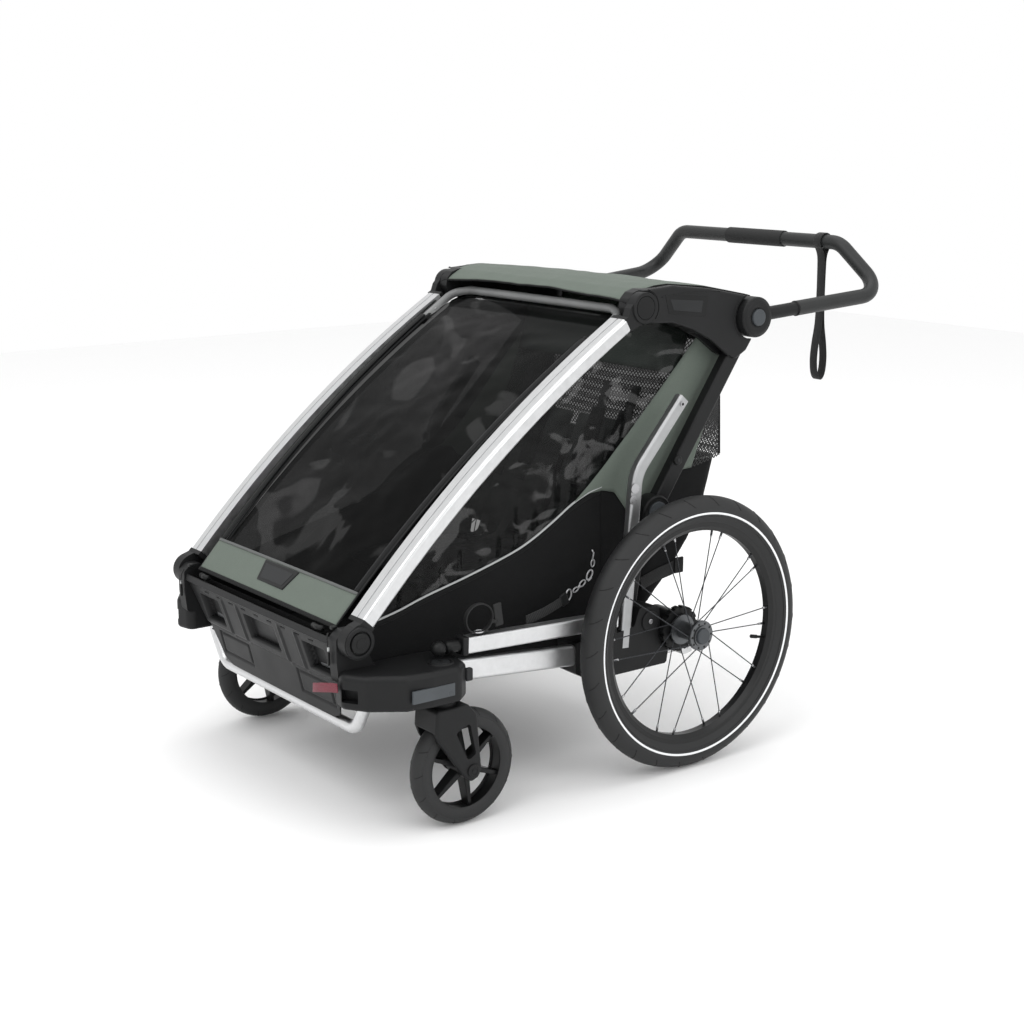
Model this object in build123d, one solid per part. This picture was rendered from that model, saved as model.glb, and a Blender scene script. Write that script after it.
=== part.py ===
from build123d import *
import math
import os

# Two-seat child bicycle trailer, set up as a stroller: folding frame, fabric body,
# 20 inch rear wheels, swivel casters, stowed towing arm and turning handlebar.
# Row frame: +X is the trailer's left, -Y its front, +Z up, origin on the ground at the
# centre of the overall box. Below, y is counted from the rear axle and moved at export.

os.makedirs("parts", exist_ok=True)

# ---------------------------------------------------------------- driving dimensions (mm)
AXLE_Y = 83.0          # rear axle behind the row origin
WHEEL_R = 250.0        # rear tyre outer radius (47-406)
WHEEL_X = 365.0        # rear wheel centre plane
TYRE_W = 47.0
RIM_IN_R = 188.0
HUB_OUT_X = 401.5
CASTER_X, CASTER_Y = 335.0, -525.0
CASTER_TRAIL = 40.0
CASTER_R = 100.0
F_Y, F_Z = -659.0, 335.0      # front pillar lower pivot
T_Y, T_Z = -66.0, 831.0       # front pillar top pivot
H_Y, H_Z = 193.0, 799.0       # handlebar pivot
R_Y, R_Z = -28.0, 461.0       # folding joint in the rear strut
Q_Y, Q_Z = -62.0, 272.0       # rear strut lower pivot
WALL_X = 252.0                # outer face of the fabric body
LINK_X0, LINK_X1 = 256.0, 270.0   # lower strut layer
CPIL_X0, CPIL_X1 = 272.0, 294.0   # rear strut layer
BPIL_X0, BPIL_X1 = 305.0, 323.0   # fixed bent pillar layer
A_X0, A_X1 = 262.0, 302.0         # front pillar width
A_T = 26.0                        # front pillar thickness
BAR_R = 14.0                      # handlebar tube radius
GAP = 0.5

nodes = {}


def yz(points, x0, x1):
    """Closed outline in y, z pushed along X from x0 to x1."""
    face = make_face(Plane.YZ.offset(x0) * Polyline(*points, close=True))
    return extrude(face, amount=x1 - x0, dir=(1, 0, 0))


def box(x0, x1, y0, y1, z0, z1):
    return Pos((x0 + x1) / 2, (y0 + y1) / 2, (z0 + z1) / 2) * Box(x1 - x0, y1 - y0, z1 - z0)


def cyl_x(y, z, r, x0, x1):
    return Pos((x0 + x1) / 2, y, z) * Rot(0, 90, 0) * Cylinder(r, x1 - x0)


def cyl_z(x, y, r, z0, z1):
    return Pos(x, y, (z0 + z1) / 2) * Cylinder(r, z1 - z0)


def soft_fillet(part, radius, pick=None):
    """Rounds the picked edges, with a smaller radius or none where the first can't be made."""
    edges = part.edges() if pick is None else pick(part.edges())
    for r in (radius, radius * 0.6, radius * 0.35):
        try:
            out = fillet(edges, r)
            if out.is_valid and out.volume > 0:
                return out
        except Exception:
            pass
    return part


def along_x(edges):
    return edges.filter_by(Axis.X)


def mir(part):
    return mirror(part, about=Plane.YZ)


def cut(part, *tools):
    for t in tools:
        part = part - t
    return part


def one(part):
    """The largest solid of a cut, so that no loose chip is kept."""
    return max(part.solids(), key=lambda s: s.volume)


def both(part):
    return Compound(children=[*part.solids(), *mir(part).solids()])


def group(*parts):
    out = []
    for p in parts:
        out.extend(p.solids())
    return Compound(children=out)


def keep(name, shape):
    """Files a shape under a node name; a second shape under the same name joins the first."""
    nodes.setdefault(name, []).extend(shape.solids())


def annulus_profile(y, z, r_out, r_in, x0, x1):
    return cyl_x(y, z, r_out, x0, x1) - cyl_x(y, z, r_in, x0 - 1, x1 + 1)


# ---------------------------------------------------------------- rear wheels
def rear_wheel(side):
    s = 1 if side == "left" else -1
    # tyre: round tread on a bead, turned about the axle
    rr = TYRE_W / 2
    c = WHEEL_R - rr
    prof = Plane.XY * (
        Pos(0, c) * Circle(rr)
        + Pos(0, (203.5 + c) / 2) * Rectangle(26, c - 203.5)
    )
    prof = prof - Pos(0, c - 2) * Circle(rr - 6.5) - Pos(0, 210) * Rectangle(17, 30)
    tyre = revolve(prof, Axis.X, 360)
    # rim: hollow box section with bead seat
    rim_prof = Plane.XY * make_face(Polyline((-13, 203.3), (-13, 207), (-9.2, 207), (-9.2, 200), (9.2, 200), (9.2, 207), (13, 207), (13, 203.3), (13, 196), (7, RIM_IN_R), (-7, RIM_IN_R), (-13, 196), close=True))
    rim_prof = rim_prof - make_face(Polyline((-10, 197), (-5.5, 191), (5.5, 191), (10, 197), close=True))
    tyre = tyre - revolve(Plane.XY * (Pos(0, 203) * Rectangle(26.4, 8.4)), Axis.X, 360)
    rim = revolve(rim_prof, Axis.X, 360)
    # hub shell with two flanges; the cap pocket is open outwards
    hub = (
        cyl_x(0, 0, 15.5, -24, 30)
        + cyl_x(0, 0, 27.5, -25, -21)
        + cyl_x(0, 0, 27.5, 23, 27.5)
        + cyl_x(0, 0, 18.5, 27, 31)
    )
    hub = hub - cyl_x(0, 0, 6.35, -30, 40) - cyl_x(0, 0, 15.2, 21.6, 40)
    spokes = []
    holes = []
    for k in range(20):
        a = 2 * math.pi * (k // 2) / 10 + (0.09 if k % 2 else -0.09)
        fx = 25.2 if k % 2 else -23
        b = a + (0.62 if k % 2 else -0.62)
        p0 = Vector(fx, 22.5 * math.cos(b), 22.5 * math.sin(b))
        p1 = Vector(4.0 if k % 2 else -4.0, (RIM_IN_R + 1.2) * math.cos(a), (RIM_IN_R + 1.2) * math.sin(a))
        d = p1 - p0
        pl = Plane(origin=p0, z_dir=d.normalized())
        body = extrude(pl * Circle(1.0), amount=d.length)
        nip = extrude(Plane(origin=p1 - d.normalized() * 11, z_dir=d.normalized()) * Circle(2.0), amount=11.5)
        spokes.append(body + nip)
        holes.append(extrude(Plane(origin=p0 - d.normalized() * 6, z_dir=d.normalized()) * Circle(1.5), amount=14))
    for h in holes:
        hub = hub - h
    fixed = []
    for sp in spokes:
        sp = sp - cyl_x(0, 0, 16.2, -24, 30)
        fixed.append(one(sp))
    ring = cyl_x(0, 0, 260, -30, 30) - cyl_x(0, 0, RIM_IN_R + 1.8, -31, 31)
    fixed = [one(sp - ring) for sp in fixed]
    for sp_hole in range(20):
        a = 2 * math.pi * (sp_hole // 2) / 10 + (0.09 if sp_hole % 2 else -0.09)
        b = a + (0.62 if sp_hole % 2 else -0.62)
        fx = 25.2 if sp_hole % 2 else -23
        p0 = Vector(fx, 22.5 * math.cos(b), 22.5 * math.sin(b))
        p1 = Vector(4.0 if sp_hole % 2 else -4.0, (RIM_IN_R + 1.2) * math.cos(a), (RIM_IN_R + 1.2) * math.sin(a))
        d = (p1 - p0).normalized()
        rim = rim - extrude(Plane(origin=p1 - d * 14, z_dir=d) * Circle(2.4), amount=20)
    cap = cyl_x(0, 0, 14.6, 26.5, HUB_OUT_X - WHEEL_X)
    cap = soft_fillet(cap, 3, lambda e: e.filter_by(GeomType.CIRCLE).sort_by(Axis.X)[-1:])
    valve = Pos(0, 0, -RIM_IN_R + 14) * Cylinder(3.0, 27)
    out = {}
    for name, shp in (("tyre", tyre), ("rim", rim), ("hub", hub), ("spokes", Compound(children=fixed)), ("release_cap", cap), ("valve", valve)):
        moved = Pos(WHEEL_X, 0, WHEEL_R) * shp
        out[name] = moved if s > 0 else mir(moved)
    return out


# ---------------------------------------------------------------- base frame
# fixed bent pillar
b_path = FilletPolyline((0, 13, 668), (0, -93, 545), (0, -118, 232), radius=70)
b_sec = Plane(origin=b_path @ 0, z_dir=b_path % 0, x_dir=(1, 0, 0)) * RectangleRounded(BPIL_X1 - BPIL_X0, 24, 5)
b_pillar = Pos((BPIL_X0 + BPIL_X1) / 2, 0, 0) * sweep(b_sec, path=b_path)
# side rail, oval box tube sloping down to the rear
r_dir = Vector(0, 262, -22).normalized()
r_pl = Plane(origin=(312, -486, 259), z_dir=r_dir, x_dir=(1, 0, 0))
rail = extrude(r_pl * (RectangleRounded(18, 38, 7) - RectangleRounded(14, 34, 5.2)), amount=262)
# black bracket joining rail, bent pillar and axle arm, and carrying the strut pivot
bracket = yz([(-232, 262), (-232, 206), (-196, 186), (-20, 186), (-14, 222), (-32, 232), (-40, 296), (-86, 300), (-98, 268), (-150, 262)], 272, BPIL_X1)
bracket = soft_fillet(bracket, 6, along_x)
arm_pocket = box(280, 310, -190, 60, 194, 216)
axle_arm = extrude(Plane.XZ.offset(188) * Pos(295, 205) * RectangleRounded(28, 18, 4), amount=-216)
rail_pocket = extrude(r_pl * RectangleRounded(18, 38, 7), amount=262)
pin_hole = cyl_x(Q_Y, Q_Z, 6.05, 240, 330)
axle_boss = cyl_x(0, WHEEL_R, 30.5, 255, 333)
bracket = one(cut(bracket, b_pillar, rail_pocket, axle_arm, pin_hole, axle_boss, box(280, 308, -24, 20, 214, 262)))
rail = one(rail - bracket)
clamp_block = one(box(281, 309, -11, 13, 214.2, 232) - cyl_x(0, WHEEL_R, 30.2, 250, 335) - axle_arm)
# cross tube between the axle arms
axle_tube = box(-280, 280, -12, 22, 196, 214)
axle_tube = soft_fillet(axle_tube, 4, along_x)
# drum with brake ring; the wheel's axle pin runs in it
drum = cyl_x(0, WHEEL_R, 30, 264, 328) + cyl_x(0, WHEEL_R, 42, 326, 337)
drum = soft_fillet(drum, 3, lambda e: e.filter_by(GeomType.CIRCLE).sort_by(Axis.X)[:1])
notches = [Pos(331.5, 0, WHEEL_R) * Rot(a, 0, 0) * Pos(0, 0, 43) * Box(14, 7, 8) for a in range(0, 360, 24)]
for n in notches:
    drum = drum - n
lug = yz([(30, 226), (46, 214), (44, 196), (22, 192), (14, 214)], 300, 322)
drum = drum - cyl_x(0, WHEEL_R, 6.05, 300, 340)
drum = one(drum)
lug = one(soft_fillet(lug, 5, along_x) - cyl_x(0, WHEEL_R, 30.2, 250, 335) - cyl_x(33, 208, 4, 290, 330) - axle_arm)
stub = cyl_x(0, WHEEL_R, 6.0, 302, 386)
keep("axle_tube", axle_tube)
keep("axle_arms", both(axle_arm))
keep("axle_arms", both(group(clamp_block, lug)))
keep("axle_drums", both(drum))
keep("frame_pins", both(stub))

# corner housing with caster socket and pivot boss
hs = make_face(Plane.XY.offset(226) * Polyline((256, -680), (292, -688), (330, -664), (366, -612), (374, -566), (374, -512), (352, -486), (300, -478), (262, -500), (256, -560), close=True))
housing = extrude(hs, amount=60, dir=(0, 0, 1))
housing = soft_fillet(housing, 16, lambda e: e.filter_by(Axis.Z))
housing = soft_fillet(housing, 11, lambda e: e.group_by(Axis.Z)[-1])
housing = soft_fillet(housing, 7, lambda e: e.group_by(Axis.Z)[0])
boss = yz([(-688, 300), (-688, 340), (-674, 352), (-652, 352), (-634, 322), (-620, 290), (-600, 276), (-600, 262), (-684, 262)], 256, 279)
boss = soft_fillet(boss, 9, along_x)
housing = housing + boss
button_well = cyl_z(CASTER_X, CASTER_Y, 16.2, 270, 300)
stem_hole = cyl_z(CASTER_X, CASTER_Y, 9.3, 220, 262)
slot_front = box(290, 330, -700, -640, 240, 262)
housing = cut(housing, button_well, stem_hole, rail_pocket, cyl_x(F_Y, F_Z, 8.05, 240, 290), box(279, 320, -700, -600, 300, 400))
housing = cut(housing, Pos(300, -676, 250) * Rot(0, 0, 38) * Box(30, 30, 22))
refl_pocket = box(370.8, 380, -606, -524, 240, 262)
housing = one(housing - refl_pocket)
reflector = box(371, 374.6, -605.6, -524.4, 240.4, 261.6)
keep("front_reflectors", both(reflector))

# bumper tube and footwell guard
bp = FilletPolyline((268, -628, 252), (262, -624, 214), (228, -622, 162), (-228, -622, 162), (-262, -624, 214), (-268, -628, 252), radius=32)
bumper = sweep(Plane(origin=bp @ 0, z_dir=bp % 0) * Circle(11), path=bp)
guard = yz([(-681, 326), (-676, 328), (-668, 322), (-633, 176), (-640, 174), (-671, 300)], -243, 243)
guard = guard - Pos(-300, -650, 150) * Rot(0, 32, 0) * Box(120, 120, 120) - Pos(300, -650, 150) * Rot(0, -32, 0) * Box(120, 120, 120)
for x0, x1 in ((-200, -140), (-45, 45), (140, 200)):
    guard = guard - box(x0, x1, -700, -655, 262, 300)
guard = one(guard - bumper - (Pos(0, 0, 0) * sweep(Plane(origin=bp @ 0, z_dir=bp % 0) * Circle(11.3), path=bp)))
lip = box(-254, 254, -684, -664, 318, 332)
guard_lip = soft_fillet(lip, 3, along_x)
guard = one((guard + guard_lip) - housing - mir(housing))
housing = one(housing - bumper)
keep("corner_housings", both(housing))
keep("bumper_tube", bumper)
keep("footwell_guard", guard)
keep("side_rails", both(rail))
keep("b_pillars", both(b_pillar))
keep("rear_brackets", both(bracket))

caster_button = cyl_z(CASTER_X, CASTER_Y, 15.6, 275, 288)
caster_button = soft_fillet(caster_button, 2, lambda e: e.filter_by(GeomType.CIRCLE).sort_by(Axis.Z)[-1:])
keep("caster_button_left", caster_button)
keep("caster_button_right", mir(caster_button))

# rivets and bolts of the base frame
riv = [cyl_x(-62, 272, 11, BPIL_X1 + 0.05, BPIL_X1 + 3)]
for (ry, rz, rr) in ((5, 659, 4.5), (-103, 520, 9), (-107, 500, 8)):
    riv.append(cyl_x(ry, rz, rr, BPIL_X1 + 0.05, BPIL_X1 + 2.6))
keep("frame_pins", both(group(*riv)))
strut_pin = cyl_x(Q_Y, Q_Z, 6.0, LINK_X0 - 1, BPIL_X1)
keep("frame_pins", both(strut_pin))

# ---------------------------------------------------------------- front pillars (front frame)


def circle_through(p, q, r):
    ax, ay, bx, by, cx, cy = p[0], p[1], q[0], q[1], r[0], r[1]
    d = 2 * (ax * (by - cy) + bx * (cy - ay) + cx * (ay - by))
    ux = ((ax**2 + ay**2) * (by - cy) + (bx**2 + by**2) * (cy - ay) + (cx**2 + cy**2) * (ay - by)) / d
    uy = ((ax**2 + ay**2) * (cx - bx) + (bx**2 + by**2) * (ax - cx) + (cx**2 + cy**2) * (bx - ax)) / d
    return ux, uy, math.hypot(ax - ux, ay - uy)


ACY, ACZ, AR = circle_through((-649, 372), (-395.6, 612.0), (-111, 814))


def on_arc(t, inset):
    """Point on the pillar's front line at share t of its length, moved inwards by inset."""
    b0 = math.atan2(372 - ACZ, -649 - ACY)
    b1 = math.atan2(814 - ACZ, -111 - ACY)
    b = b0 + (b1 - b0) * t
    return (ACY + (AR - inset) * math.cos(b), ACZ + (AR - inset) * math.sin(b))


def arc_band(t0, t1, in0, in1, x0, x1):
    p = [on_arc(t0, in0), on_arc((t0 + t1) / 2, in0), on_arc(t1, in0), on_arc(t1, in1), on_arc((t0 + t1) / 2, in1), on_arc(t0, in1)]
    q = [(0, a, b) for a, b in p]
    wire = ThreePointArc(q[0], q[1], q[2]) + Line(q[2], q[3]) + ThreePointArc(q[3], q[4], q[5]) + Line(q[5], q[0])
    return extrude(Pos(x0, 0, 0) * make_face(wire), amount=x1 - x0, dir=(1, 0, 0))


pillar = arc_band(0.0, 1.0, 0, A_T, A_X0, A_X1)
pillar = soft_fillet(pillar, 6, lambda e: e.filter_by(GeomType.CIRCLE).group_by(Axis.X)[-1])
pillar = pillar - arc_band(-0.01, 1.01, 2.6, A_T - 2.6, A_X0 + 2.6, A_X1 - 2.6)
groove = arc_band(-0.01, 1.01, -1, 1.2, 280, 283)
keep("a_pillars", both(one(pillar - groove)))
# lower sleeve and knob body on the front pivot
low = yz([(-654.6, 366.4), (-635.6, 348.6), (-633, 338), (-638, 320), (F_Y, 310), (-682, 320), (-686, 336), (-680, 352), (-668, 362)], 280.5, A_X1 - 0.5)
low = low + cyl_x(F_Y, F_Z, 28, 280.5, 303)
low = low + yz([on_arc(0.0, 0), on_arc(0.0, A_T), (-635.6, 348.6), (-654.6, 366.4)], A_X0, A_X1)
low = one(low + cyl_x(F_Y, F_Z, 7.7, 257, 281))
keep("pillar_knuckles", both(low))
cap = cyl_x(F_Y, F_Z, 17.5, 303.05, 308)
cap = soft_fillet(cap, 2.5, lambda e: e.filter_by(GeomType.CIRCLE).sort_by(Axis.X)[-1:])
keep("pivot_caps", both(cap))
# upper elbow with the round top pivot
up = yz([(-104.0, 818.2), (-99, 832), (-90, 842), (T_Y, T_Z), (-64, 805), (-90.6, 796)], 285.5, A_X1 - 0.5)
up = up + cyl_x(T_Y, T_Z, 28, 285.5, 302.3)
up = up + yz([on_arc(1.0, 0), on_arc(1.0, A_T), (-90.6, 796), (-104.0, 818.2)], A_X0, A_X1)
up = one(up + cyl_x(T_Y, T_Z, 7.7, 262, 287))
keep("pillar_knuckles", both(up))
tcap = cyl_x(T_Y, T_Z, 20, 302.35, 304.2)
tcap = soft_fillet(tcap, 1.2, lambda e: e.filter_by(GeomType.CIRCLE).sort_by(Axis.X)[-1:])
keep("pivot_caps", both(tcap))
# canopy bow across the top of the front opening
bow_pts = [(254, -150, 772), (254, -84, 816), (214, -66, 823), (-214, -66, 823), (-254, -84, 816), (-254, -150, 772)]
bw = FilletPolyline(*bow_pts, radius=28)
bow = sweep(Plane(origin=bw @ 0, z_dir=bw % 0) * Circle(8), path=bw)
keep("canopy_bow", one(bow))
# front cover: clear window sheet and the bottom band
cover = arc_band(0.055, 0.925, 9, 11, -261.5, 261.5)
band = arc_band(-0.04, 0.05, 7, 10.5, -246, 246)
cover = one(cover - bow)
keep("front_window", cover)
keep("cover_band", one(band))

# ---------------------------------------------------------------- upper frame
br = [(-94, 831), (-90, 846), (-79, 857), (-62, 862), (0, 866), (90, 856), (193, 836), (220, 825), (230, 799), (222, 775), (198, 760), (182, 738), (156, 724), (134, 734), (92, 764), (46, 786), (0, 800), (-40, 802), (-82, 808)]
bridge = yz(br, A_X0, 301)
bridge = soft_fillet(bridge, 8, along_x)
bridge = soft_fillet(bridge, 5, lambda e: e.group_by(Axis.X)[-1])
bridge = cut(
    bridge,
    cyl_x(H_Y, H_Z, 40, 284.5, 320),
    yz([(178, 799), (178, 860), (240, 860), (240, 799)], 284.5, 320),
    box(284.5, 330, H_Y, H_Y + 60, 700, 900),
    cyl_x(T_Y, T_Z, 29.5, 284.8, 330),
    yz([(-200, 700), (-70, 796), (-62, 832), (-70, 870), (-200, 870)], 284.8, 330),
    cyl_x(T_Y, T_Z, 8.0, 250, 330),
    box(271.2, 294.8, 40, 215, 700, 776),
    cyl_x(H_Y, H_Z, 9.0, 250, 330),
)
c_path_d = Vector(0, H_Y - 12 - R_Y, H_Z - 34 - R_Z)
c0 = Vector(0, R_Y, R_Z)
c_pl = Plane(origin=Vector((CPIL_X0 + CPIL_X1) / 2, R_Y, R_Z), z_dir=c_path_d, x_dir=(1, 0, 0))
c_len = 344.0
c_pil = extrude(c_pl * RectangleRounded(CPIL_X1 - CPIL_X0, 30, 4), amount=c_len)
hubR = cyl_x(R_Y, R_Z, 33, CPIL_X0, 300)
hubR = soft_fillet(hubR, 3, lambda e: e.filter_by(GeomType.CIRCLE).sort_by(Axis.X)[-1:])
hubR = hubR + cyl_x(R_Y, R_Z, 7.7, 257, 273)
hub_pocket = cyl_x(R_Y, R_Z, 22.3, 292, 310)
hubR = hubR - hub_pocket
c_pil = one(c_pil - cyl_x(R_Y, R_Z, 33, 250, 310))
bridge = one(bridge - c_pil)
bridge = one(bridge - yz([(-12, 846), (74, 838), (70, 812), (-4, 822)], 300.2, 303))
badge = yz([(-11, 845), (73, 837), (69, 813), (-3, 822.6)], 300.3, 301.4)
keep("bridges", both(bridge))
keep("badge_plates", both(one(badge)))
keep("c_pillars", both(c_pil))
keep("c_pillars", both(one(hubR)))
fb = cyl_x(R_Y, R_Z, 21.8, 297, 303.5)
fb = soft_fillet(fb, 1.6, lambda e: e.filter_by(GeomType.CIRCLE).sort_by(Axis.X)[-1:])
keep("fold_button_left", fb)
keep("fold_button_right", mir(fb))
# lower struts
ld = Vector(0, R_Y - Q_Y, R_Z - Q_Z)
l_pl = Plane(origin=Vector((LINK_X0 + LINK_X1) / 2, Q_Y, Q_Z), z_dir=ld, x_dir=(1, 0, 0))
link = extrude(l_pl * RectangleRounded(LINK_X1 - LINK_X0, 24, 4), amount=ld.length)
link = link + cyl_x(Q_Y, Q_Z, 18, LINK_X0, LINK_X1) + cyl_x(R_Y, R_Z, 26, LINK_X0, LINK_X1)
link = one(link - cyl_x(Q_Y, Q_Z, 6.06, 240, 290) - cyl_x(R_Y, R_Z, 8.0, 240, 290))
keep("rear_brackets", both(link))

# roof: one closed curved shell between the bridges, open below
roof_out = [(-92, 838), (-60, 860), (0, 866), (90, 857), (186, 838)]


def spline_shell(pts, dz, x0, x1):
    top = Spline(*[(0, a, b) for a, b in pts])
    bot = Spline(*[(0, a, b - dz) for a, b in pts])
    w = top + Line((0, pts[-1][0], pts[-1][1]), (0, pts[-1][0], pts[-1][1] - dz)) + bot + Line((0, pts[0][0], pts[0][1] - dz), (0, pts[0][0], pts[0][1]))
    return extrude(Pos(x0, 0, 0) * make_face(w), amount=x1 - x0, dir=(1, 0, 0))


roof = spline_shell(roof_out, 2.5, -261.3, 261.3)
roof = one(roof - bow)
keep("roof", roof)

# ---------------------------------------------------------------- handlebar
HX = 299.0
hb_pts = [(HX, H_Y + 34, H_Z + 2.7), (HX + 29, 514, 826), (226, 499, 916), (-226, 499, 916), (-HX - 29, 514, 826), (-HX, H_Y + 34, H_Z + 2.7)]
hb = FilletPolyline(*hb_pts, radius=48)
bar = sweep(Plane(origin=hb @ 0, z_dir=hb % 0) * Circle(BAR_R), path=hb)
hubH = cyl_x(H_Y, H_Z, 37, 285.2, 317)
hubH = soft_fillet(hubH, 5, lambda e: e.filter_by(GeomType.CIRCLE).sort_by(Axis.X)[-1:])
hb_dir = Vector(29, 514 - H_Y - 34, 826 - H_Z - 2.7).normalized()
insert = extrude(Plane(origin=Vector(HX, H_Y + 34, H_Z + 2.7) - hb_dir * 12, z_dir=hb_dir) * Circle(12.4), amount=86)
hubH = hubH + cyl_x(H_Y, H_Z, 8.7, 264, 286)
h_pocket = cyl_x(H_Y, H_Z, 16.3, 309, 330)
hubH = one(hubH - h_pocket)
insert = one(insert - cyl_x(H_Y, H_Z, 37.0, 280, 320))
bar_trim = extrude(Plane(origin=Vector(HX, H_Y + 34, H_Z + 2.7) - hb_dir * 20, z_dir=hb_dir) * Circle(40), amount=94)
bar = one(bar - bar_trim - mir(bar_trim))
insert = one(insert - bar)
grip = Pos(0, 499, 916) * Rot(0, 90, 0) * Cylinder(BAR_R + 2.2, 158)
grip = soft_fillet(grip, 1.5, lambda e: e.filter_by(GeomType.CIRCLE))
grip = one(grip - Pos(0, 499, 916) * Rot(0, 90, 0) * Cylinder(BAR_R, 170))
keep("handlebar_tube", bar)
keep("handlebar_grip", grip)
keep("handlebar_hubs", both(hubH))
keep("handlebar_hubs", both(insert))
hbutton = cyl_x(H_Y, H_Z, 15.6, 312.5, 322)
hbutton = soft_fillet(hbutton, 3, lambda e: e.filter_by(GeomType.CIRCLE).sort_by(Axis.X)[-1:])
keep("hub_button_left", hbutton)
keep("hub_button_right", mir(hbutton))
# wrist strap: a webbing loop round the bar, hanging down
SX = 182.0
strap = Pos(SX, 499, 916) * Rot(0, 90, 0) * (Cylinder(BAR_R + 2.4, 22) - Cylinder(BAR_R + 0.35, 30))
tail = box(SX - 11, SX + 11, 492, 506, 640, 903) - box(SX - 12, SX + 12, 494.5, 503.5, 642.5, 760)
strap = one((strap + tail) - Pos(SX, 499, 916) * Rot(0, 90, 0) * Cylinder(BAR_R + 0.35, 40))
keep("wrist_strap", strap)

# ---------------------------------------------------------------- casters
fork = make_face(Plane.YZ * Polyline((CASTER_Y - 30, 216), (CASTER_Y + 33, 216), (CASTER_Y + 50, 196), (CASTER_Y + CASTER_TRAIL + 19, 98), (CASTER_Y + CASTER_TRAIL + 12, 85), (CASTER_Y + CASTER_TRAIL - 2, 80), (CASTER_Y + CASTER_TRAIL - 15, 90), (CASTER_Y - 26, 160), (CASTER_Y - 33, 178), close=True))
fork = extrude(Pos(CASTER_X - 34, 0, 0) * fork, amount=68, dir=(1, 0, 0))
fork = soft_fillet(fork, 7, along_x)
fork = soft_fillet(fork, 6, lambda e: e.group_by(Axis.X)[0] + e.group_by(Axis.X)[-1])
inner = box(CASTER_X - 24, CASTER_X + 24, CASTER_Y - 80, CASTER_Y + 100, 0, 176) + Pos(CASTER_X, CASTER_Y + CASTER_TRAIL, CASTER_R) * Rot(0, 90, 0) * Cylinder(106, 48)
fork = fork - inner
window = yz([(CASTER_Y + 6, 172), (CASTER_Y + 34, 184), (CASTER_Y + 46, 128), (CASTER_Y + 30, 120)], CASTER_X - 50, CASTER_X + 50)
window = soft_fillet(window, 5, along_x)
fork = fork - window
wheel_y = CASTER_Y + CASTER_TRAIL
fork = fork - cyl_x(wheel_y, CASTER_R, 4.05, CASTER_X - 60, CASTER_X + 60)
fork = one(fork + cyl_z(CASTER_X, CASTER_Y, 24, 214, 225.4) + cyl_z(CASTER_X, CASTER_Y, 9.0, 214, 256))


def ring_x(y, z, pts):
    prof = make_face(Polyline(*[(a, b) for a, b in pts], close=True))
    return Pos(CASTER_X, y, z) * revolve(Plane.XY * prof, Axis.X, 360)


ct = ring_x(wheel_y, CASTER_R, [(-17, 84), (-20, 88), (-19, 94), (-13, 98.6), (-6, 100), (6, 100), (13, 98.6), (19, 94), (20, 88), (17, 84)])
rim_c = ring_x(wheel_y, CASTER_R, [(-17, 76), (-17, 83.9), (17, 83.9), (17, 76), (9, 72), (-9, 72)])
hub_c = cyl_x(wheel_y, CASTER_R, 17, CASTER_X - 22, CASTER_X + 22)
sp = []
for k in range(6):
    a = math.radians(38 + 60 * k)
    arm = extrude(Plane(origin=(0, 0, 10), z_dir=(0, 0, 1)) * RectangleRounded(26, 12, 3), amount=65, taper=3)
    sp.append(Pos(CASTER_X, wheel_y, CASTER_R) * Rot(math.degrees(a) - 90, 0, 0) * arm)
wheel_c = rim_c + hub_c
for s_ in sp:
    wheel_c = wheel_c + s_
wheel_c = one(wheel_c - cyl_x(wheel_y, CASTER_R, 4.35, CASTER_X - 60, CASTER_X + 60))
for side in ("left", "right"):
    f = (lambda q: q) if side == "left" else mir
    keep(f"caster_fork_{side}", f(fork))
    keep(f"caster_tyre_{side}", f(ct))
    keep(f"caster_wheel_{side}", f(wheel_c))
bolt_c = one(cyl_x(wheel_y, CASTER_R, 4.0, CASTER_X - 36, CASTER_X + 36) + cyl_x(wheel_y, CASTER_R, 6.5, CASTER_X + 34.05, CASTER_X + 36.5) + cyl_x(wheel_y, CASTER_R, 6.5, CASTER_X - 36.5, CASTER_X - 34.05))
keep("caster_fork_left", bolt_c)
keep("caster_fork_right", mir(bolt_c))

for side in ("left", "right"):
    w = rear_wheel(side)
    keep(f"tyre_{side}", w["tyre"])
    keep(f"rim_{side}", one(w["rim"] - w["valve"]))
    keep(f"spokes_{side}", Compound(children=[s for s in w["spokes"].solids()]))
    keep(f"hub_{side}", one(w["hub"]))
    keep(f"release_cap_{side}", w["release_cap"])

# ---------------------------------------------------------------- towing arm, stowed on the left
arm_dir = Vector(0, 282, -11).normalized()
arm_pl = Plane(origin=(321, -470, 302.5), z_dir=arm_dir, x_dir=(1, 0, 0))
tow = extrude(arm_pl * (RectangleRounded(24, 28, 4) - RectangleRounded(20, 24, 2.5)), amount=326)
plug = extrude(arm_pl * RectangleRounded(23.9, 27.9, 4), amount=-4)
neck = extrude(arm_pl.offset(-4) * Circle(8.5), amount=-26)
ballc = Vector(321, -470, 302.5) - arm_dir * 50
ball = Pos(*ballc) * Sphere(13)
tow_ball = one(plug + neck + ball)
keep("tow_arm", tow)
keep("tow_ball", tow_ball)
# receiver clip that holds the arm beside the frame
clip = box(306, 336, -178, -150, 262.5, 290) - extrude(arm_pl * RectangleRounded(24.6, 28.6, 4), amount=340)
clip = one(clip + box(322.05, 336, -178, -150, 240, 270) - tow)
clip = one(clip - extrude(arm_pl * RectangleRounded(24.8, 28.8, 4), amount=340) - bracket)

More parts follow.
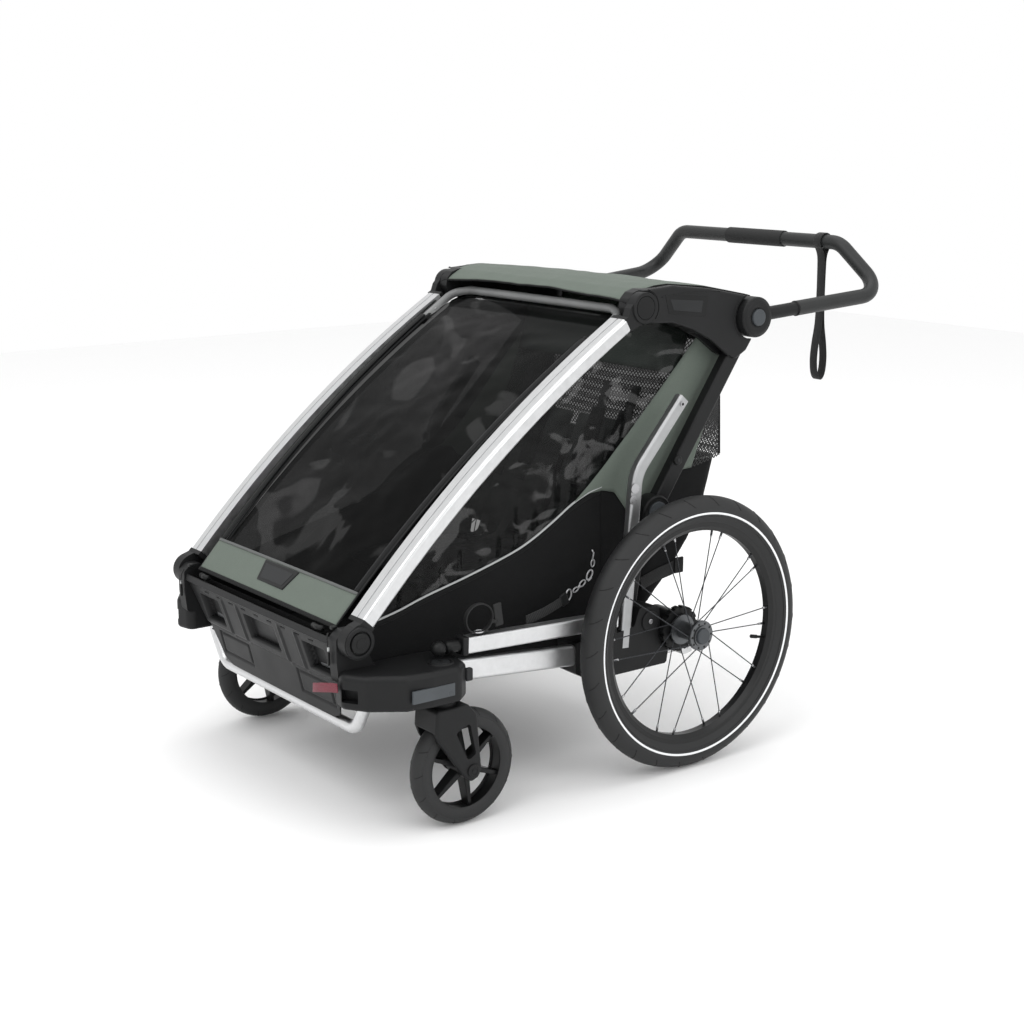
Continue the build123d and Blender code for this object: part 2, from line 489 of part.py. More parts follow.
# ---------------------------------------------------------------- parking brake pedal
pedal = yz([(34, 196), (40, 204), (74, 196), (104, 176), (108, 168), (98, 164), (66, 184), (36, 190)], -70, 70)
pedal = soft_fillet(pedal, 3, along_x)
pedal_bar = cyl_x(30, 205, 7, -150, 150)
pedal = one(pedal + pedal_bar)
ears = group(*[one(box(x - 5, x + 5, 22.05, 44, 192, 216) - cyl_x(30, 205, 7.06, x - 10, x + 10)) for x in (-120, 120)])
pedal = one(pedal)
keep("brake_pedal", pedal)
keep("frame_clips", ears)

# ---------------------------------------------------------------- fabric body (plain closed solids)
# floor tray
floor = box(-WALL_X + 3, WALL_X - 3, -640, -40, 222, 226)
floor = one(floor)
keep("floor", floor)
# lower side panels: upper edge follows the piping line
sp_pts = [(-640, 340), (-501, 375), (-324, 420), (-278, 438), (-187, 490), (-125, 512), (-90, 508), (-72, 470), (-66, 400), (-66, 262), (-110, 226), (-640, 226)]
panel = yz(sp_pts, WALL_X - 2.5, WALL_X)
keep("side_panels", both(panel))
# side windows between pillar, bridge and piping
top_arc = [on_arc(t, 22) for t in (0.06, 0.25, 0.5, 0.75, 0.97)]
win_pts = [(-628, 344), *top_arc, (-60, 815), (60, 800), (150, 752), (101, 700), (-40, 560), (-116, 512.6), (-187, 490.6), (-278, 438.6), (-324, 420.6), (-501, 375.6)]
window_s = yz(win_pts, WALL_X - 2, WALL_X)
window_s = one(window_s - panel)
keep("side_windows", both(window_s))
# seat base, two backs
seat = soft_fillet(box(-238, 238, -360, -84, 296, 340), 14)
keep("seat_base", seat)
bk = []
for s_ in (-1, 1):
    b_ = yz([(-92, 352), (-58, 344), (92, 716), (66, 728)], -116, 116)
    b_ = soft_fillet(b_, 8)
    bk.append(Pos(s_ * 119, 0, 0) * b_)
keep("seat_backs", group(*bk))
# harness straps lying on the backs and the lap buckle
hs_ = []
for sx in (-119, 119):
    for dx in (-42, 42):
        hs_.append(yz([(-95.5, 372), (-91.2, 371), (20.5, 647.5), (16.5, 650)], sx + dx - 12, sx + dx + 12))
    hs_.append(soft_fillet(box(sx - 24, sx + 24, -150, -112, 341, 356), 4))
keep("harness", group(*hs_))
# cargo bag: open box with slanted back
bag_o = yz([(-10, 262), (112, 386), (150, 458), (170, 536), (40, 516), (-30, 330)], -248, 248)
bag_i = yz([(-8, 266), (109, 388), (147, 459), (167.5, 560), (42.6, 560), (42.6, 515), (-27, 330)], -245.5, 245.5)
bag = one(bag_o - bag_i)
keep("cargo_bag", bag)
# upper back: green panel and mesh, from the bag rim to the bridge
mesh = yz([(171.5, 537.5), (163, 690), (188, 745), (185.4, 745.8), (160.5, 690.5), (169, 538)], -248, 248)
keep("rear_mesh", mesh)

keep("frame_clips", clip)

CAP = 60
assert len(nodes) <= CAP, len(nodes)
for name in os.listdir("parts"):
    if name.endswith(".step"):
        os.remove(os.path.join("parts", name))
for name, shape in nodes.items():
    moved = [s.moved(Location((0, AXLE_Y, 0))) for s in shape]
    export_step(moved[0] if len(moved) == 1 else Compound(children=moved), f"parts/{name}.step")
print(len(nodes), "nodes")
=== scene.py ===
import math

import bmesh
import bpy
import numpy as np
from mathutils import Matrix, Vector, noise


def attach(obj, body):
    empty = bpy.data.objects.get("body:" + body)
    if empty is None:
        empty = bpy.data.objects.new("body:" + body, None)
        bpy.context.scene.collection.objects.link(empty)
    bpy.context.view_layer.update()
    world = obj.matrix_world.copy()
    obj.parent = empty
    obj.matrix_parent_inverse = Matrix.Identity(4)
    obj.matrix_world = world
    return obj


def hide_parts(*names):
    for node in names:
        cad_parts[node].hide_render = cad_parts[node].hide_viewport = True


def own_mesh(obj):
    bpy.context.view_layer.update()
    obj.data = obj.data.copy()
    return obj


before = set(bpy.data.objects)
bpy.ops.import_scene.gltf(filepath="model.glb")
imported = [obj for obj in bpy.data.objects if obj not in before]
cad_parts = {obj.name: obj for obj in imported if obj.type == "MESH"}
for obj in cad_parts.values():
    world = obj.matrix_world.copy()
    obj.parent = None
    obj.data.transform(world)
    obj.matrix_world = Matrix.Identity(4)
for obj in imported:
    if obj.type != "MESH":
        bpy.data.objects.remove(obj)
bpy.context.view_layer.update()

# ------------------------------------------------------------------ frame
# Lengths below are millimetres counted from the rear axle line (y) and the ground (z).
AY = 0.083
SIDES = ((1, "left"), (-1, "right"))


def P(x, y, z):
    return Vector((x / 1000, y / 1000 + AY, z / 1000))


def link(obj):
    bpy.context.scene.collection.objects.link(obj)
    return obj


def mesh_obj(name, verts, faces, smooth=True, raw=False):
    """Object from millimetre points."""
    me = bpy.data.meshes.new(name)
    me.from_pydata([tuple(v) if raw else tuple(P(*v)) for v in verts], [], faces)
    me.update()
    bm = bmesh.new()
    bm.from_mesh(me)
    bmesh.ops.recalc_face_normals(bm, faces=bm.faces)
    bm.to_mesh(me)
    bm.free()
    if smooth:
        for p in me.polygons:
            p.use_smooth = True
    return link(bpy.data.objects.new(name, me))


def grid(name, fn, nu, nv, close_u=False, thick=0.0, offset=0.0, smooth=True):
    """Surface fn(u, v) with u, v from 0 to 1."""
    verts, faces = [], []
    cu = nu if close_u else nu + 1
    for i in range(cu):
        for j in range(nv + 1):
            verts.append(fn(i / nu, j / nv))
    for i in range(nu):
        a, b = i % cu, (i + 1) % cu
        for j in range(nv):
            faces.append((a * (nv + 1) + j, b * (nv + 1) + j, b * (nv + 1) + j + 1, a * (nv + 1) + j + 1))
    o = mesh_obj(name, verts, faces, smooth)
    if thick:
        m = o.modifiers.new("thick", "SOLIDIFY")
        m.thickness = thick / 1000
        m.offset = offset
    return o


def tube(name, pts, r, seg=12, closed=False, caps=True, sub=0):
    """Round tube through points, with parallel frames."""
    pts = [Vector(p) for p in pts]
    if sub:
        pts = smooth_line(pts, sub, closed)
    n = len(pts)
    verts, faces = [], []
    up = None
    for i, p in enumerate(pts):
        a = pts[(i - 1) % n] if (closed or i) else p
        b = pts[(i + 1) % n] if (closed or i < n - 1) else p
        t = (b - a).normalized()
        if up is None:
            up = Vector((0, 0, 1)) if abs(t.z) < 0.9 else Vector((0, 1, 0))
        s = t.cross(up).normalized()
        up = s.cross(t).normalized()
        for k in range(seg):
            c = 2 * math.pi * k / seg
            verts.append(p + (s * math.cos(c) + up * math.sin(c)) * r)
    rings = n if closed else n - 1
    for i in range(rings):
        j = (i + 1) % n
        for k in range(seg):
            l = (k + 1) % seg
            faces.append((i * seg + k, i * seg + l, j * seg + l, j * seg + k))
    if caps and not closed:
        faces.append(tuple(range(seg - 1, -1, -1)))
        faces.append(tuple((n - 1) * seg + k for k in range(seg)))
    return mesh_obj(name, verts, faces)


def smooth_line(pts, sub, closed=False):
    """Catmull-Rom points."""
    pts = [Vector(p) for p in pts]
    out = []
    n = len(pts)
    for i in range(n if closed else n - 1):
        p0 = pts[i - 1] if (closed or i) else pts[0] * 2 - pts[1]
        p1, p2 = pts[i], pts[(i + 1) % n]
        p3 = pts[(i + 2) % n] if (closed or i + 2 < n) else p2 * 2 - p1
        for k in range(sub):
            t = k / sub
            out.append(0.5 * ((2 * p1) + (p2 - p0) * t + (2 * p0 - 5 * p1 + 4 * p2 - p3) * t * t + (3 * p1 - p0 - 3 * p2 + p3) * t ** 3))
    if not closed:
        out.append(pts[-1])
    return out


def ribbon(name, pts, width, thick, across=(1, 0, 0), sub=6, closed=False, taper=None):
    """Flat webbing along points; across is the direction of its width."""
    line = smooth_line(pts, sub, closed) if sub else [Vector(p) for p in pts]
    n = len(line)
    w0 = Vector(across).normalized()
    verts, faces = [], []
    for i, p in enumerate(line):
        a = line[(i - 1) % n] if (closed or i) else p
        b = line[(i + 1) % n] if (closed or i < n - 1) else p
        t = (b - a).normalized()
        w = (w0 - t * w0.dot(t)).normalized()
        h = t.cross(w).normalized()
        f = 1 if taper is None else taper(i / max(1, n - 1))
        hw, ht = width / 2 * f, thick / 2
        for sx, sy in ((-1, -1), (-0.86, -1.0), (0.86, -1.0), (1, -1), (1, 1), (0.86, 1.0), (-0.86, 1.0), (-1, 1)):
            e = 0.55 if abs(sx) == 1 else 1.0
            verts.append(p + w * hw * sx + h * ht * sy * e)
    m = 8
    for i in range(n if closed else n - 1):
        j = (i + 1) % n
        for k in range(m):
            l = (k + 1) % m
            faces.append((i * m + k, i * m + l, j * m + l, j * m + k))
    if not closed:
        faces.append(tuple(range(m - 1, -1, -1)))
        faces.append(tuple((n - 1) * m + k for k in range(m)))
    o = mesh_obj(name, verts, faces)
    soft_edges(o, 40)
    return o


def soft_edges(o, angle=35):
    for p in o.data.polygons:
        p.use_smooth = True
    o.data.set_sharp_from_angle(angle=math.radians(angle))


def bevel(o, width, seg=3, angle=30):
    m = o.modifiers.new("bevel", "BEVEL")
    m.width = width / 1000
    m.segments = seg
    m.limit_method = "ANGLE"
    m.angle_limit = math.radians(angle)
    m.harden_normals = False
    return o


def prism(name, outline, x0, x1, rnd=0, seg=3):
    """Closed outline in y, z pushed from x0 to x1."""
    n = len(outline)
    verts = [(x0, a, b) for a, b in outline] + [(x1, a, b) for a, b in outline]
    faces = [tuple(range(n)), tuple(range(2 * n - 1, n - 1, -1))]
    faces += [(i, (i + 1) % n, n + (i + 1) % n, n + i) for i in range(n)]
    o = mesh_obj(name, verts, faces, smooth=False)
    if rnd:
        bevel(o, rnd, seg)
        soft_edges(o, 50)
    return o


def block(name, c, size, rnd=1.5, rot=None, seg=3):
    """Rounded block about a centre, with an optional rotation matrix."""
    sx, sy, sz = (s / 2 for s in size)
    verts = []
    for x in (-sx, sx):
        for y in (-sy, sy):
            for z in (-sz, sz):
                v = Vector((x, y, z))
                if rot is not None:
                    v = rot @ v
                verts.append(Vector(c) + v)
    faces = [(0, 1, 3, 2), (4, 6, 7, 5), (0, 4, 5, 1), (2, 3, 7, 6), (0, 2, 6, 4), (1, 5, 7, 3)]
    o = mesh_obj(name, verts, faces, smooth=False)
    if rnd:
        bevel(o, rnd, seg)
        soft_edges(o, 50)
    return o


def disc_x(name, x0, x1, y, z, r, rnd=1.5, seg=40, hole=0):
    """Round plate or button along X, made as a lathe with rounded rim."""
    s = 1 if x1 > x0 else -1
    prof = [(x0, hole), (x0, r)]
    for k in range(5):
        a = math.pi / 2 * k / 4
        prof.append((x1 - s * rnd + s * rnd * math.sin(a), r - rnd + rnd * math.cos(a)))
    prof.append((x1, hole))
    return lathe(name, prof, y, z, seg, close=hole > 0)


def lathe(name, prof, y, z, seg=48, close=False, axis="X", bump=None):
    """Profile (along, radius) turned about an axis parallel to X through y, z."""
    verts, faces = [], []
    m = len(prof)
    for i in range(seg):
        a = 2 * math.pi * i / seg
        for j, (x, r) in enumerate(prof):
            rr = r + (bump(a, j, x, r) if bump else 0)
            if axis == "X":
                verts.append((x, y + rr * math.sin(a), z + rr * math.cos(a)))
            else:
                verts.append((y + rr * math.cos(a), z + rr * math.sin(a), x))
    for i in range(seg):
        k = (i + 1) % seg
        for j in range(m if close else m - 1):
            l = (j + 1) % m
            faces.append((i * m + j, k * m + j, k * m + l, i * m + l))
    o = mesh_obj(name, verts, faces)
    bm = bmesh.new()
    bm.from_mesh(o.data)
    bmesh.ops.remove_doubles(bm, verts=bm.verts, dist=1e-6)
    bmesh.ops.recalc_face_normals(bm, faces=bm.faces)
    bm.to_mesh(o.data)
    bm.free()
    soft_edges(o, 40)
    return o


def join(name, objs):
    """One object of several, with their modifiers applied."""
    dg = bpy.context.evaluated_depsgraph_get()
    bm = bmesh.new()
    mats = []
    for o in objs:
        dg.update()
        me = bpy.data.meshes.new_from_object(o.evaluated_get(dg))
        base = len(bm.faces)
        before = len(bm.faces)
        bm.from_mesh(me)
        bm.faces.ensure_lookup_table()
        names = [m for m in o.data.materials]
        for f in bm.faces[before:]:
            m = names[f.material_index] if names and f.material_index < len(names) else None
            if m not in mats:
                mats.append(m)
            f.material_index = mats.index(m)
        bpy.data.meshes.remove(me)
    me = bpy.data.meshes.new(name)
    bm.to_mesh(me)
    bm.free()
    for m in mats:
        if m is not None:
            me.materials.append(m)
    for o in list(objs):
        bpy.data.objects.remove(o)
    return link(bpy.data.objects.new(name, me))


def bake_mods(o):
    """Applies all modifiers of an object."""
    dg = bpy.context.evaluated_depsgraph_get()
    dg.update()
    me = bpy.data.meshes.new_from_object(o.evaluated_get(dg))
    for m in o.data.materials:
        if m and m.name not in [x.name for x in me.materials if x]:
            me.materials.append(m)
    o.modifiers.clear()
    o.data = me
    return o


def interp(x, pts):
    xs, ys = [p[0] for p in pts], [p[1] for p in pts]
    return float(np.interp(x, xs, ys))


def hump(t):
    return math.sin(math.pi * max(0.0, min(1.0, t)))


def ease(t):
    t = max(0.0, min(1.0, t))
    return t * t * (3 - 2 * t)


def wob(x, y, z, s=1.0):
    return noise.noise(Vector((x * s, y * s, z * s)))


# ------------------------------------------------------------------ materials
MATS = {}


def nodes_of(m):
    m.use_nodes = True
    t = m.node_tree
    t.nodes.clear()
    return t, t.nodes, t.links


def base_mat(name):
    m = bpy.data.materials.new(name)
    t, n, l = nodes_of(m)
    out = n.new("ShaderNodeOutputMaterial")
    bs = n.new("ShaderNodeBsdfPrincipled")
    l.new(bs.outputs[0], out.inputs[0])
    co = n.new("ShaderNodeTexCoord")
    MATS[name] = m
    return m, n, l, bs, co


def noise_node(n, l, co, scale, detail=3.0, rough=0.5, stretch=None):
    t = n.new("ShaderNodeTexNoise")
    t.inputs["Scale"].default_value = scale
    t.inputs["Detail"].default_value = detail
    t.inputs["Roughness"].default_value = rough
    if stretch:
        mp = n.new("ShaderNodeMapping")
        mp.inputs["Scale"].default_value = stretch
        l.new(co.outputs["Object"], mp.inputs[0])
        l.new(mp.outputs[0], t.inputs["Vector"])
    else:
        l.new(co.outputs["Object"], t.inputs["Vector"])
    return t


def ramp(n, l, src, lo, hi, a, b):
    r = n.new("ShaderNodeValToRGB")
    r.color_ramp.elements[0].position = lo
    r.color_ramp.elements[1].position = hi
    r.color_ramp.elements[0].color = (*a, 1) if len(a) == 3 else a
    r.color_ramp.elements[1].color = (*b, 1) if len(b) == 3 else b
    l.new(src, r.inputs[0])
    return r


def bump_node(n, l, src, strength, distance, normal=None):
    b = n.new("ShaderNodeBump")
    b.inputs["Strength"].default_value = strength
    b.inputs["Distance"].default_value = distance
    l.new(src, b.inputs["Height"])
    if normal is not None:
        l.new(normal, b.inputs["Normal"])
    return b


def math_node(n, l, op, a, b=None):
    m = n.new("ShaderNodeMath")
    m.operation = op
    for i, v in enumerate((a, b)):
        if v is None:
            continue
        if isinstance(v, (int, float)):
            m.inputs[i].default_value = v
        else:
            l.new(v, m.inputs[i])
    return m.outputs[0]


def dot_node(n, l, co, vec):
    v = n.new("ShaderNodeVectorMath")
    v.operation = "DOT_PRODUCT"
    l.new(co.outputs["Object"], v.inputs[0])
    v.inputs[1].default_value = vec
    return v.outputs["Value"]


def plastic(name, col, rough=0.42, grain=900.0, strength=0.18, spec=0.45, vary=0.18):
    m, n, l, bs, co = base_mat(name)
    big = noise_node(n, l, co, 14.0, 4.0)
    r = ramp(n, l, big.outputs["Fac"], 0.3, 0.75, [c * (1 - vary) for c in col], [c * (1 + vary) for c in col])
    l.new(r.outputs[0], bs.inputs["Base Color"])
    fine = noise_node(n, l, co, grain, 2.0, 0.6)
    b = bump_node(n, l, fine.outputs["Fac"], strength, 0.00025)
    l.new(b.outputs[0], bs.inputs["Normal"])
    rr = ramp(n, l, big.outputs["Fac"], 0.25, 0.8, (rough - 0.05,) * 3, (rough + 0.08,) * 3)
    l.new(rr.outputs[0], bs.inputs["Roughness"])
    bs.inputs["Specular IOR Level"].default_value = spec
    return m


def fabric(name, col, period=0.0012, strength=0.5, rough=0.8, sheen=0.12, vary=0.2, spec=0.25, coat=0.0):
    m, n, l, bs, co = base_mat(name)
    f = 2 * math.pi / period
    s1 = math_node(n, l, "SINE", math_node(n, l, "MULTIPLY", dot_node(n, l, co, (0.7, 0.7, 0.7)), f))
    s2 = math_node(n, l, "SINE", math_node(n, l, "MULTIPLY", dot_node(n, l, co, (0.7, -0.7, 0.0)), f))
    h = math_node(n, l, "MULTIPLY", s1, s2)
    big = noise_node(n, l, co, 22.0, 5.0, 0.6)
    fine = noise_node(n, l, co, 420.0, 2.0, 0.6)
    mix = math_node(n, l, "ADD", math_node(n, l, "MULTIPLY", fine.outputs["Fac"], 0.55), math_node(n, l, "MULTIPLY", big.outputs["Fac"], 0.45))
    r = ramp(n, l, mix, 0.32, 0.7, [c * (1 - vary) for c in col], [c * (1 + vary) for c in col])
    thread = n.new("ShaderNodeMix")
    thread.data_type = "RGBA"
    thread.blend_type = "MULTIPLY"
    shade = ramp(n, l, math_node(n, l, "ADD", math_node(n, l, "MULTIPLY", h, 0.5), 0.5), 0.0, 0.75, (0.72,) * 3, (1.06,) * 3)
    thread.inputs[0].default_value = 0.35
    l.new(r.outputs[0], thread.inputs[6])
    l.new(shade.outputs[0], thread.inputs[7])
    l.new(thread.outputs[2], bs.inputs["Base Color"])
    b = bump_node(n, l, h, strength, 0.0003)
    b2 = bump_node(n, l, big.outputs["Fac"], 0.15, 0.004, b.outputs[0])
    l.new(b2.outputs[0], bs.inputs["Normal"])
    bs.inputs["Roughness"].default_value = rough
    bs.inputs["Specular IOR Level"].default_value = spec
    bs.inputs["Sheen Weight"].default_value = sheen
    bs.inputs["Sheen Roughness"].default_value = 0.5
    if coat:
        bs.inputs["Coat Weight"].default_value = coat
        bs.inputs["Coat Roughness"].default_value = 0.35
    return m


def metal(name, col, rough=0.3, brush=(4.0, 4.0, 4.0), scale=60.0, vary=0.06):
    m, n, l, bs, co = base_mat(name)
    t = noise_node(n, l, co, scale, 3.0, 0.6, brush)
    r = ramp(n, l, t.outputs["Fac"], 0.3, 0.7, [c * (1 - vary) for c in col], [min(1, c * (1 + vary)) for c in col])
    l.new(r.outputs[0], bs.inputs["Base Color"])
    rr = ramp(n, l, t.outputs["Fac"], 0.25, 0.8, (rough - 0.06,) * 3, (rough + 0.1,) * 3)
    l.new(rr.outputs[0], bs.inputs["Roughness"])
    bs.inputs["Metallic"].default_value = 1.0
    fine = noise_node(n, l, co, 1400.0, 2.0)
    b = bump_node(n, l, fine.outputs["Fac"], 0.06, 0.0002)
    l.new(b.outputs[0], bs.inputs["Normal"])
    return m


def rubber(name, col, rough=0.62):
    m, n, l, bs, co = base_mat(name)
    big = noise_node(n, l, co, 30.0, 5.0, 0.6)
    fine = noise_node(n, l, co, 600.0, 3.0, 0.6)
    r = ramp(n, l, big.outputs["Fac"], 0.3, 0.75, [c * 0.8 for c in col], [c * 1.3 for c in col])
    l.new(r.outputs[0], bs.inputs["Base Color"])
    b = bump_node(n, l, fine.outputs["Fac"], 0.25, 0.0004)
    l.new(b.outputs[0], bs.inputs["Normal"])
    rr = ramp(n, l, big.outputs["Fac"], 0.2, 0.8, (rough - 0.08,) * 3, (rough + 0.08,) * 3)
    l.new(rr.outputs[0], bs.inputs["Roughness"])
    bs.inputs["Specular IOR Level"].default_value = 0.4
    return m


def film(name, col, alpha, rough=0.08, wrinkle=0.25, scale=11.0, spec=0.1, painted_glint=(7.0, 0.6, 0.01)):
    """Clear tinted foil with faint waves and painted highlights: lighter patches in its colour stand in for reflections
    on its crinkles.
    """
    m, n, l, bs, co = base_mat(name)
    t = noise_node(n, l, co, scale, 2.0, 0.45, (1.0, 1.0, 1.6))
    big = noise_node(n, l, co, 3.5, 2.0)
    b = bump_node(n, l, t.outputs["Fac"], wrinkle, 0.02)
    l.new(b.outputs[0], bs.inputs["Normal"])
    # painted highlights: noise patches that make the foil colour lighter, in place of reflections
    glint_tex = noise_node(n, l, co, painted_glint[0], 2.0, 0.45, (1.0, 0.8, 1.5))
    glint_tex.inputs["Distortion"].default_value = 1.1
    r = ramp(n, l, glint_tex.outputs["Fac"], painted_glint[1], painted_glint[1] + 0.035, col, [c + painted_glint[2] for c in col])
    l.new(r.outputs[0], bs.inputs["Base Color"])
    ra = ramp(n, l, big.outputs["Fac"], 0.25, 0.75, (alpha - 0.04,) * 3, (alpha + 0.05,) * 3)
    l.new(ra.outputs[0], bs.inputs["Alpha"])
    bs.inputs["Roughness"].default_value = rough
    bs.inputs["Specular IOR Level"].default_value = spec
    return m


def webbing(name, col, period=0.0022, rough=0.7):
    m, n, l, bs, co = base_mat(name)
    f = 2 * math.pi / period
    s1 = math_node(n, l, "SINE", math_node(n, l, "MULTIPLY", dot_node(n, l, co, (0.2, 0.9, 0.9)), f))
    s2 = math_node(n, l, "SINE", math_node(n, l, "MULTIPLY", dot_node(n, l, co, (1.0, 0.5, -0.3)), f))
    h = math_node(n, l, "MAXIMUM", s1, s2)
    fine = noise_node(n, l, co, 500.0, 2.0)
    r = ramp(n, l, fine.outputs["Fac"], 0.3, 0.7, [c * 0.75 for c in col], [c * 1.3 for c in col])
    l.new(r.outputs[0], bs.inputs["Base Color"])
    b = bump_node(n, l, h, 0.6, 0.0004)
    l.new(b.outputs[0], bs.inputs["Normal"])
    bs.inputs["Roughness"].default_value = rough
    bs.inputs["Sheen Weight"].default_value = 0.15
    bs.inputs["Specular IOR Level"].default_value = 0.3
    return m


BLACK = plastic("moulded_black", (0.0095, 0.0098, 0.0102), 0.46, 900, 0.2, 0.2)
BLACK_S = plastic("moulded_black_smooth", (0.0075, 0.0078, 0.008), 0.36, 1200, 0.08, 0.2)
GREY = plastic("moulded_grey", (0.05, 0.056, 0.062), 0.45, 900, 0.15, 0.3)
GREYD = plastic("moulded_dark_grey", (0.015, 0.016, 0.017), 0.45, 900, 0.2, 0.25)
REFLECT = plastic("reflector_grey", (0.055, 0.062, 0.068), 0.3, 300, 0.12, 0.35)
SILVER = metal("anodised_silver", (0.62, 0.625, 0.63), 0.36, (1.0, 0.12, 0.12), 500.0)
# painted shade: a darker copy of the anodised silver for the bent pillars
SILVER_SHADED = metal("silver_painted_shade", (0.4, 0.405, 0.41), 0.42, (1.0, 0.12, 0.12), 500.0)
STEEL = metal("bright_steel", (0.45, 0.45, 0.46), 0.3)
DARKTUBE = plastic("powder_dark", (0.018, 0.019, 0.019), 0.42, 1500, 0.1, 0.3)
RIM = plastic("rim_black", (0.008, 0.0082, 0.0085), 0.36, 1200, 0.06, 0.3)
SPOKE = metal("spoke_black", (0.05, 0.052, 0.056), 0.35)
HUBM = metal("hub_grey", (0.13, 0.135, 0.14), 0.42)
TYRE = rubber("tyre_rubber", (0.0125, 0.0128, 0.0132), 0.6)
# painted shade: a darker copy of the tyre rubber for the shade inside the slits
SLIT_SHADE = rubber("tyre_slit", (0.0035, 0.0036, 0.0037), 0.8)
GRIPM = rubber("grip_rubber", (0.009, 0.0093, 0.0095), 0.7)
GREEN = fabric("coated_green", (0.118, 0.14, 0.12), 0.0016, 0.25, 0.75, 0.04, 0.06, 0.15)
# painted shade: a darker copy of the coated green, for green seen inside the cabin
GREEN_SHADED = fabric("green_painted_shade", (0.045, 0.059, 0.05), 0.0016, 0.25, 0.8, 0.04, 0.08, 0.12)
CLOTH = fabric("black_cloth", (0.0075, 0.0077, 0.008), 0.0018, 0.4, 0.82, 0.02, 0.2, 0.12)
CLOTH2 = fabric("seat_cloth", (0.02, 0.021, 0.021), 0.0022, 0.35, 0.85, 0.03, 0.15, 0.12)
SEATG = fabric("seat_grey", (0.034, 0.037, 0.036), 0.0022, 0.35, 0.85, 0.03, 0.12, 0.12)
BIND = fabric("black_binding", (0.0065, 0.0068, 0.007), 0.0022, 0.5, 0.7, 0.02, 0.15, 0.15)
HEM = fabric("grey_hem", (0.1, 0.105, 0.103), 0.002, 0.3, 0.6, 0.05, 0.08, 0.2)
INSERT = plastic("pocket_insert", (0.14, 0.145, 0.15), 0.4, 500, 0.1, 0.3, 0.05)
PIPING = plastic("reflective_piping", (0.4, 0.41, 0.41), 0.4, 600, 0.2, 0.3, 0.08)
STRIPE = plastic("reflective_stripe", (0.82, 0.83, 0.84), 0.42, 500, 0.2, 0.4, 0.05)
WEB = webbing("black_webbing", (0.0065, 0.0067, 0.007))
RED = webbing("red_webbing", (0.13, 0.005, 0.018), 0.0022, 0.6)
MESHM = webbing("mesh_yarn", (0.009, 0.0093, 0.0095), 0.0012, 0.6)
BOWM = plastic("bow_grey", (0.17, 0.173, 0.173), 0.35, 800, 0.1, 0.4)
SATIN = plastic("satin_strip", (0.006, 0.0063, 0.0065), 0.42, 800, 0.1, 0.1)
# the last tuple of each foil sets its painted highlights: noise scale, threshold and how much lighter the patches are
FOIL_F = film("front_foil", (0.0028, 0.0029, 0.0029), 0.92, 0.2, 0.13, 5.0, 0.022, (6.0, 0.57, 0.018))
FOIL_S = film("side_foil", (0.0045, 0.0048, 0.0047), 0.84, 0.16, 0.4, 9.0, 0.12, (12.0, 0.555, 0.05))


def paint(o, m):
    if o.type == "MESH":
        o.data.materials.clear()
        o.data.materials.append(m)
        for p in o.data.polygons:
            p.material_index = 0
    return o


def put(o, mat, body, slot, *replaced):
    if mat is not None:
        paint(o, mat)
    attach(o, body)
    if replaced:
        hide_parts(*replaced)
    return o


def cad(name, mat, angle=35):
    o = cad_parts[name]
    for i in range(max(1, len(o.material_slots))):
        if not o.material_slots:
            o.data.materials.append(mat)
        o.material_slots[i].material = mat
    return o


# the bent pillars (b_pillars) get the darker silver copy, which is painted shade
for nm, mt in {
    "a_pillars": SILVER, "axle_arms": SILVER, "axle_drums": BLACK_S, "axle_tube": SILVER, "b_pillars": SILVER_SHADED,
    "badge_plates": GREYD, "brake_pedal": BLACK, "bridges": BLACK, "bumper_tube": SILVER, "c_pillars": BLACK,
    "canopy_bow": BOWM, "caster_button_left": GREYD, "caster_button_right": GREYD, "caster_fork_left": BLACK, "caster_fork_right": BLACK,
    "caster_wheel_left": BLACK_S, "caster_wheel_right": BLACK_S, "corner_housings": BLACK, "fold_button_left": GREY, "fold_button_right": GREY,
    "frame_clips": BLACK, "frame_pins": STEEL, "front_reflectors": REFLECT, "handlebar_grip": GRIPM, "handlebar_hubs": BLACK,
    "handlebar_tube": DARKTUBE, "hub_button_left": GREY, "hub_button_right": GREY, "hub_left": HUBM, "hub_right": HUBM,
    "pillar_knuckles": BLACK, "pivot_caps": BLACK_S, "rear_brackets": BLACK, "release_cap_left": GREY, "release_cap_right": GREY,
    "rim_left": RIM, "rim_right": RIM, "side_rails": SILVER, "spokes_left": SPOKE, "spokes_right": SPOKE, "tow_arm": SILVER, "tow_ball": BLACK_S,
}.items():
    cad(nm, mt)

# ------------------------------------------------------------------ camera, light, floor
cam = bpy.data.cameras.new("camera")
cam.sensor_width = 36.0
cam.lens = 60.83
cam_o = link(bpy.data.objects.new("camera", cam))
cam_o.location = P(2560.76, -2052.09, 1145.55)
az, el = math.radians(53.08), math.radians(12.71)
back = Vector((math.sin(az) * math.cos(el), -math.cos(az) * math.cos(el), math.sin(el)))
cam_o.rotation_euler = (-back).to_track_quat("-Z", "Y").to_euler()
bpy.context.scene.camera = cam_o

world = bpy.data.worlds.new("studio")
world.use_nodes = True
world.node_tree.nodes["Background"].inputs[0].default_value = (1, 1, 1, 1)
world.node_tree.nodes["Background"].inputs[1].default_value = 1.0
bpy.context.scene.world = world
bpy.context.scene.view_settings.view_transform = "Standard"


def area(name, loc, target, size, power):
    d = bpy.data.lights.new(name, "AREA")
    d.energy = power
    d.shape = "RECTANGLE"
    d.size, d.size_y = size
    o = link(bpy.data.objects.new(name, d))
    o.location = loc
    o.rotation_euler = (Vector(target) - Vector(loc)).to_track_quat("-Z", "Y").to_euler()
    return o


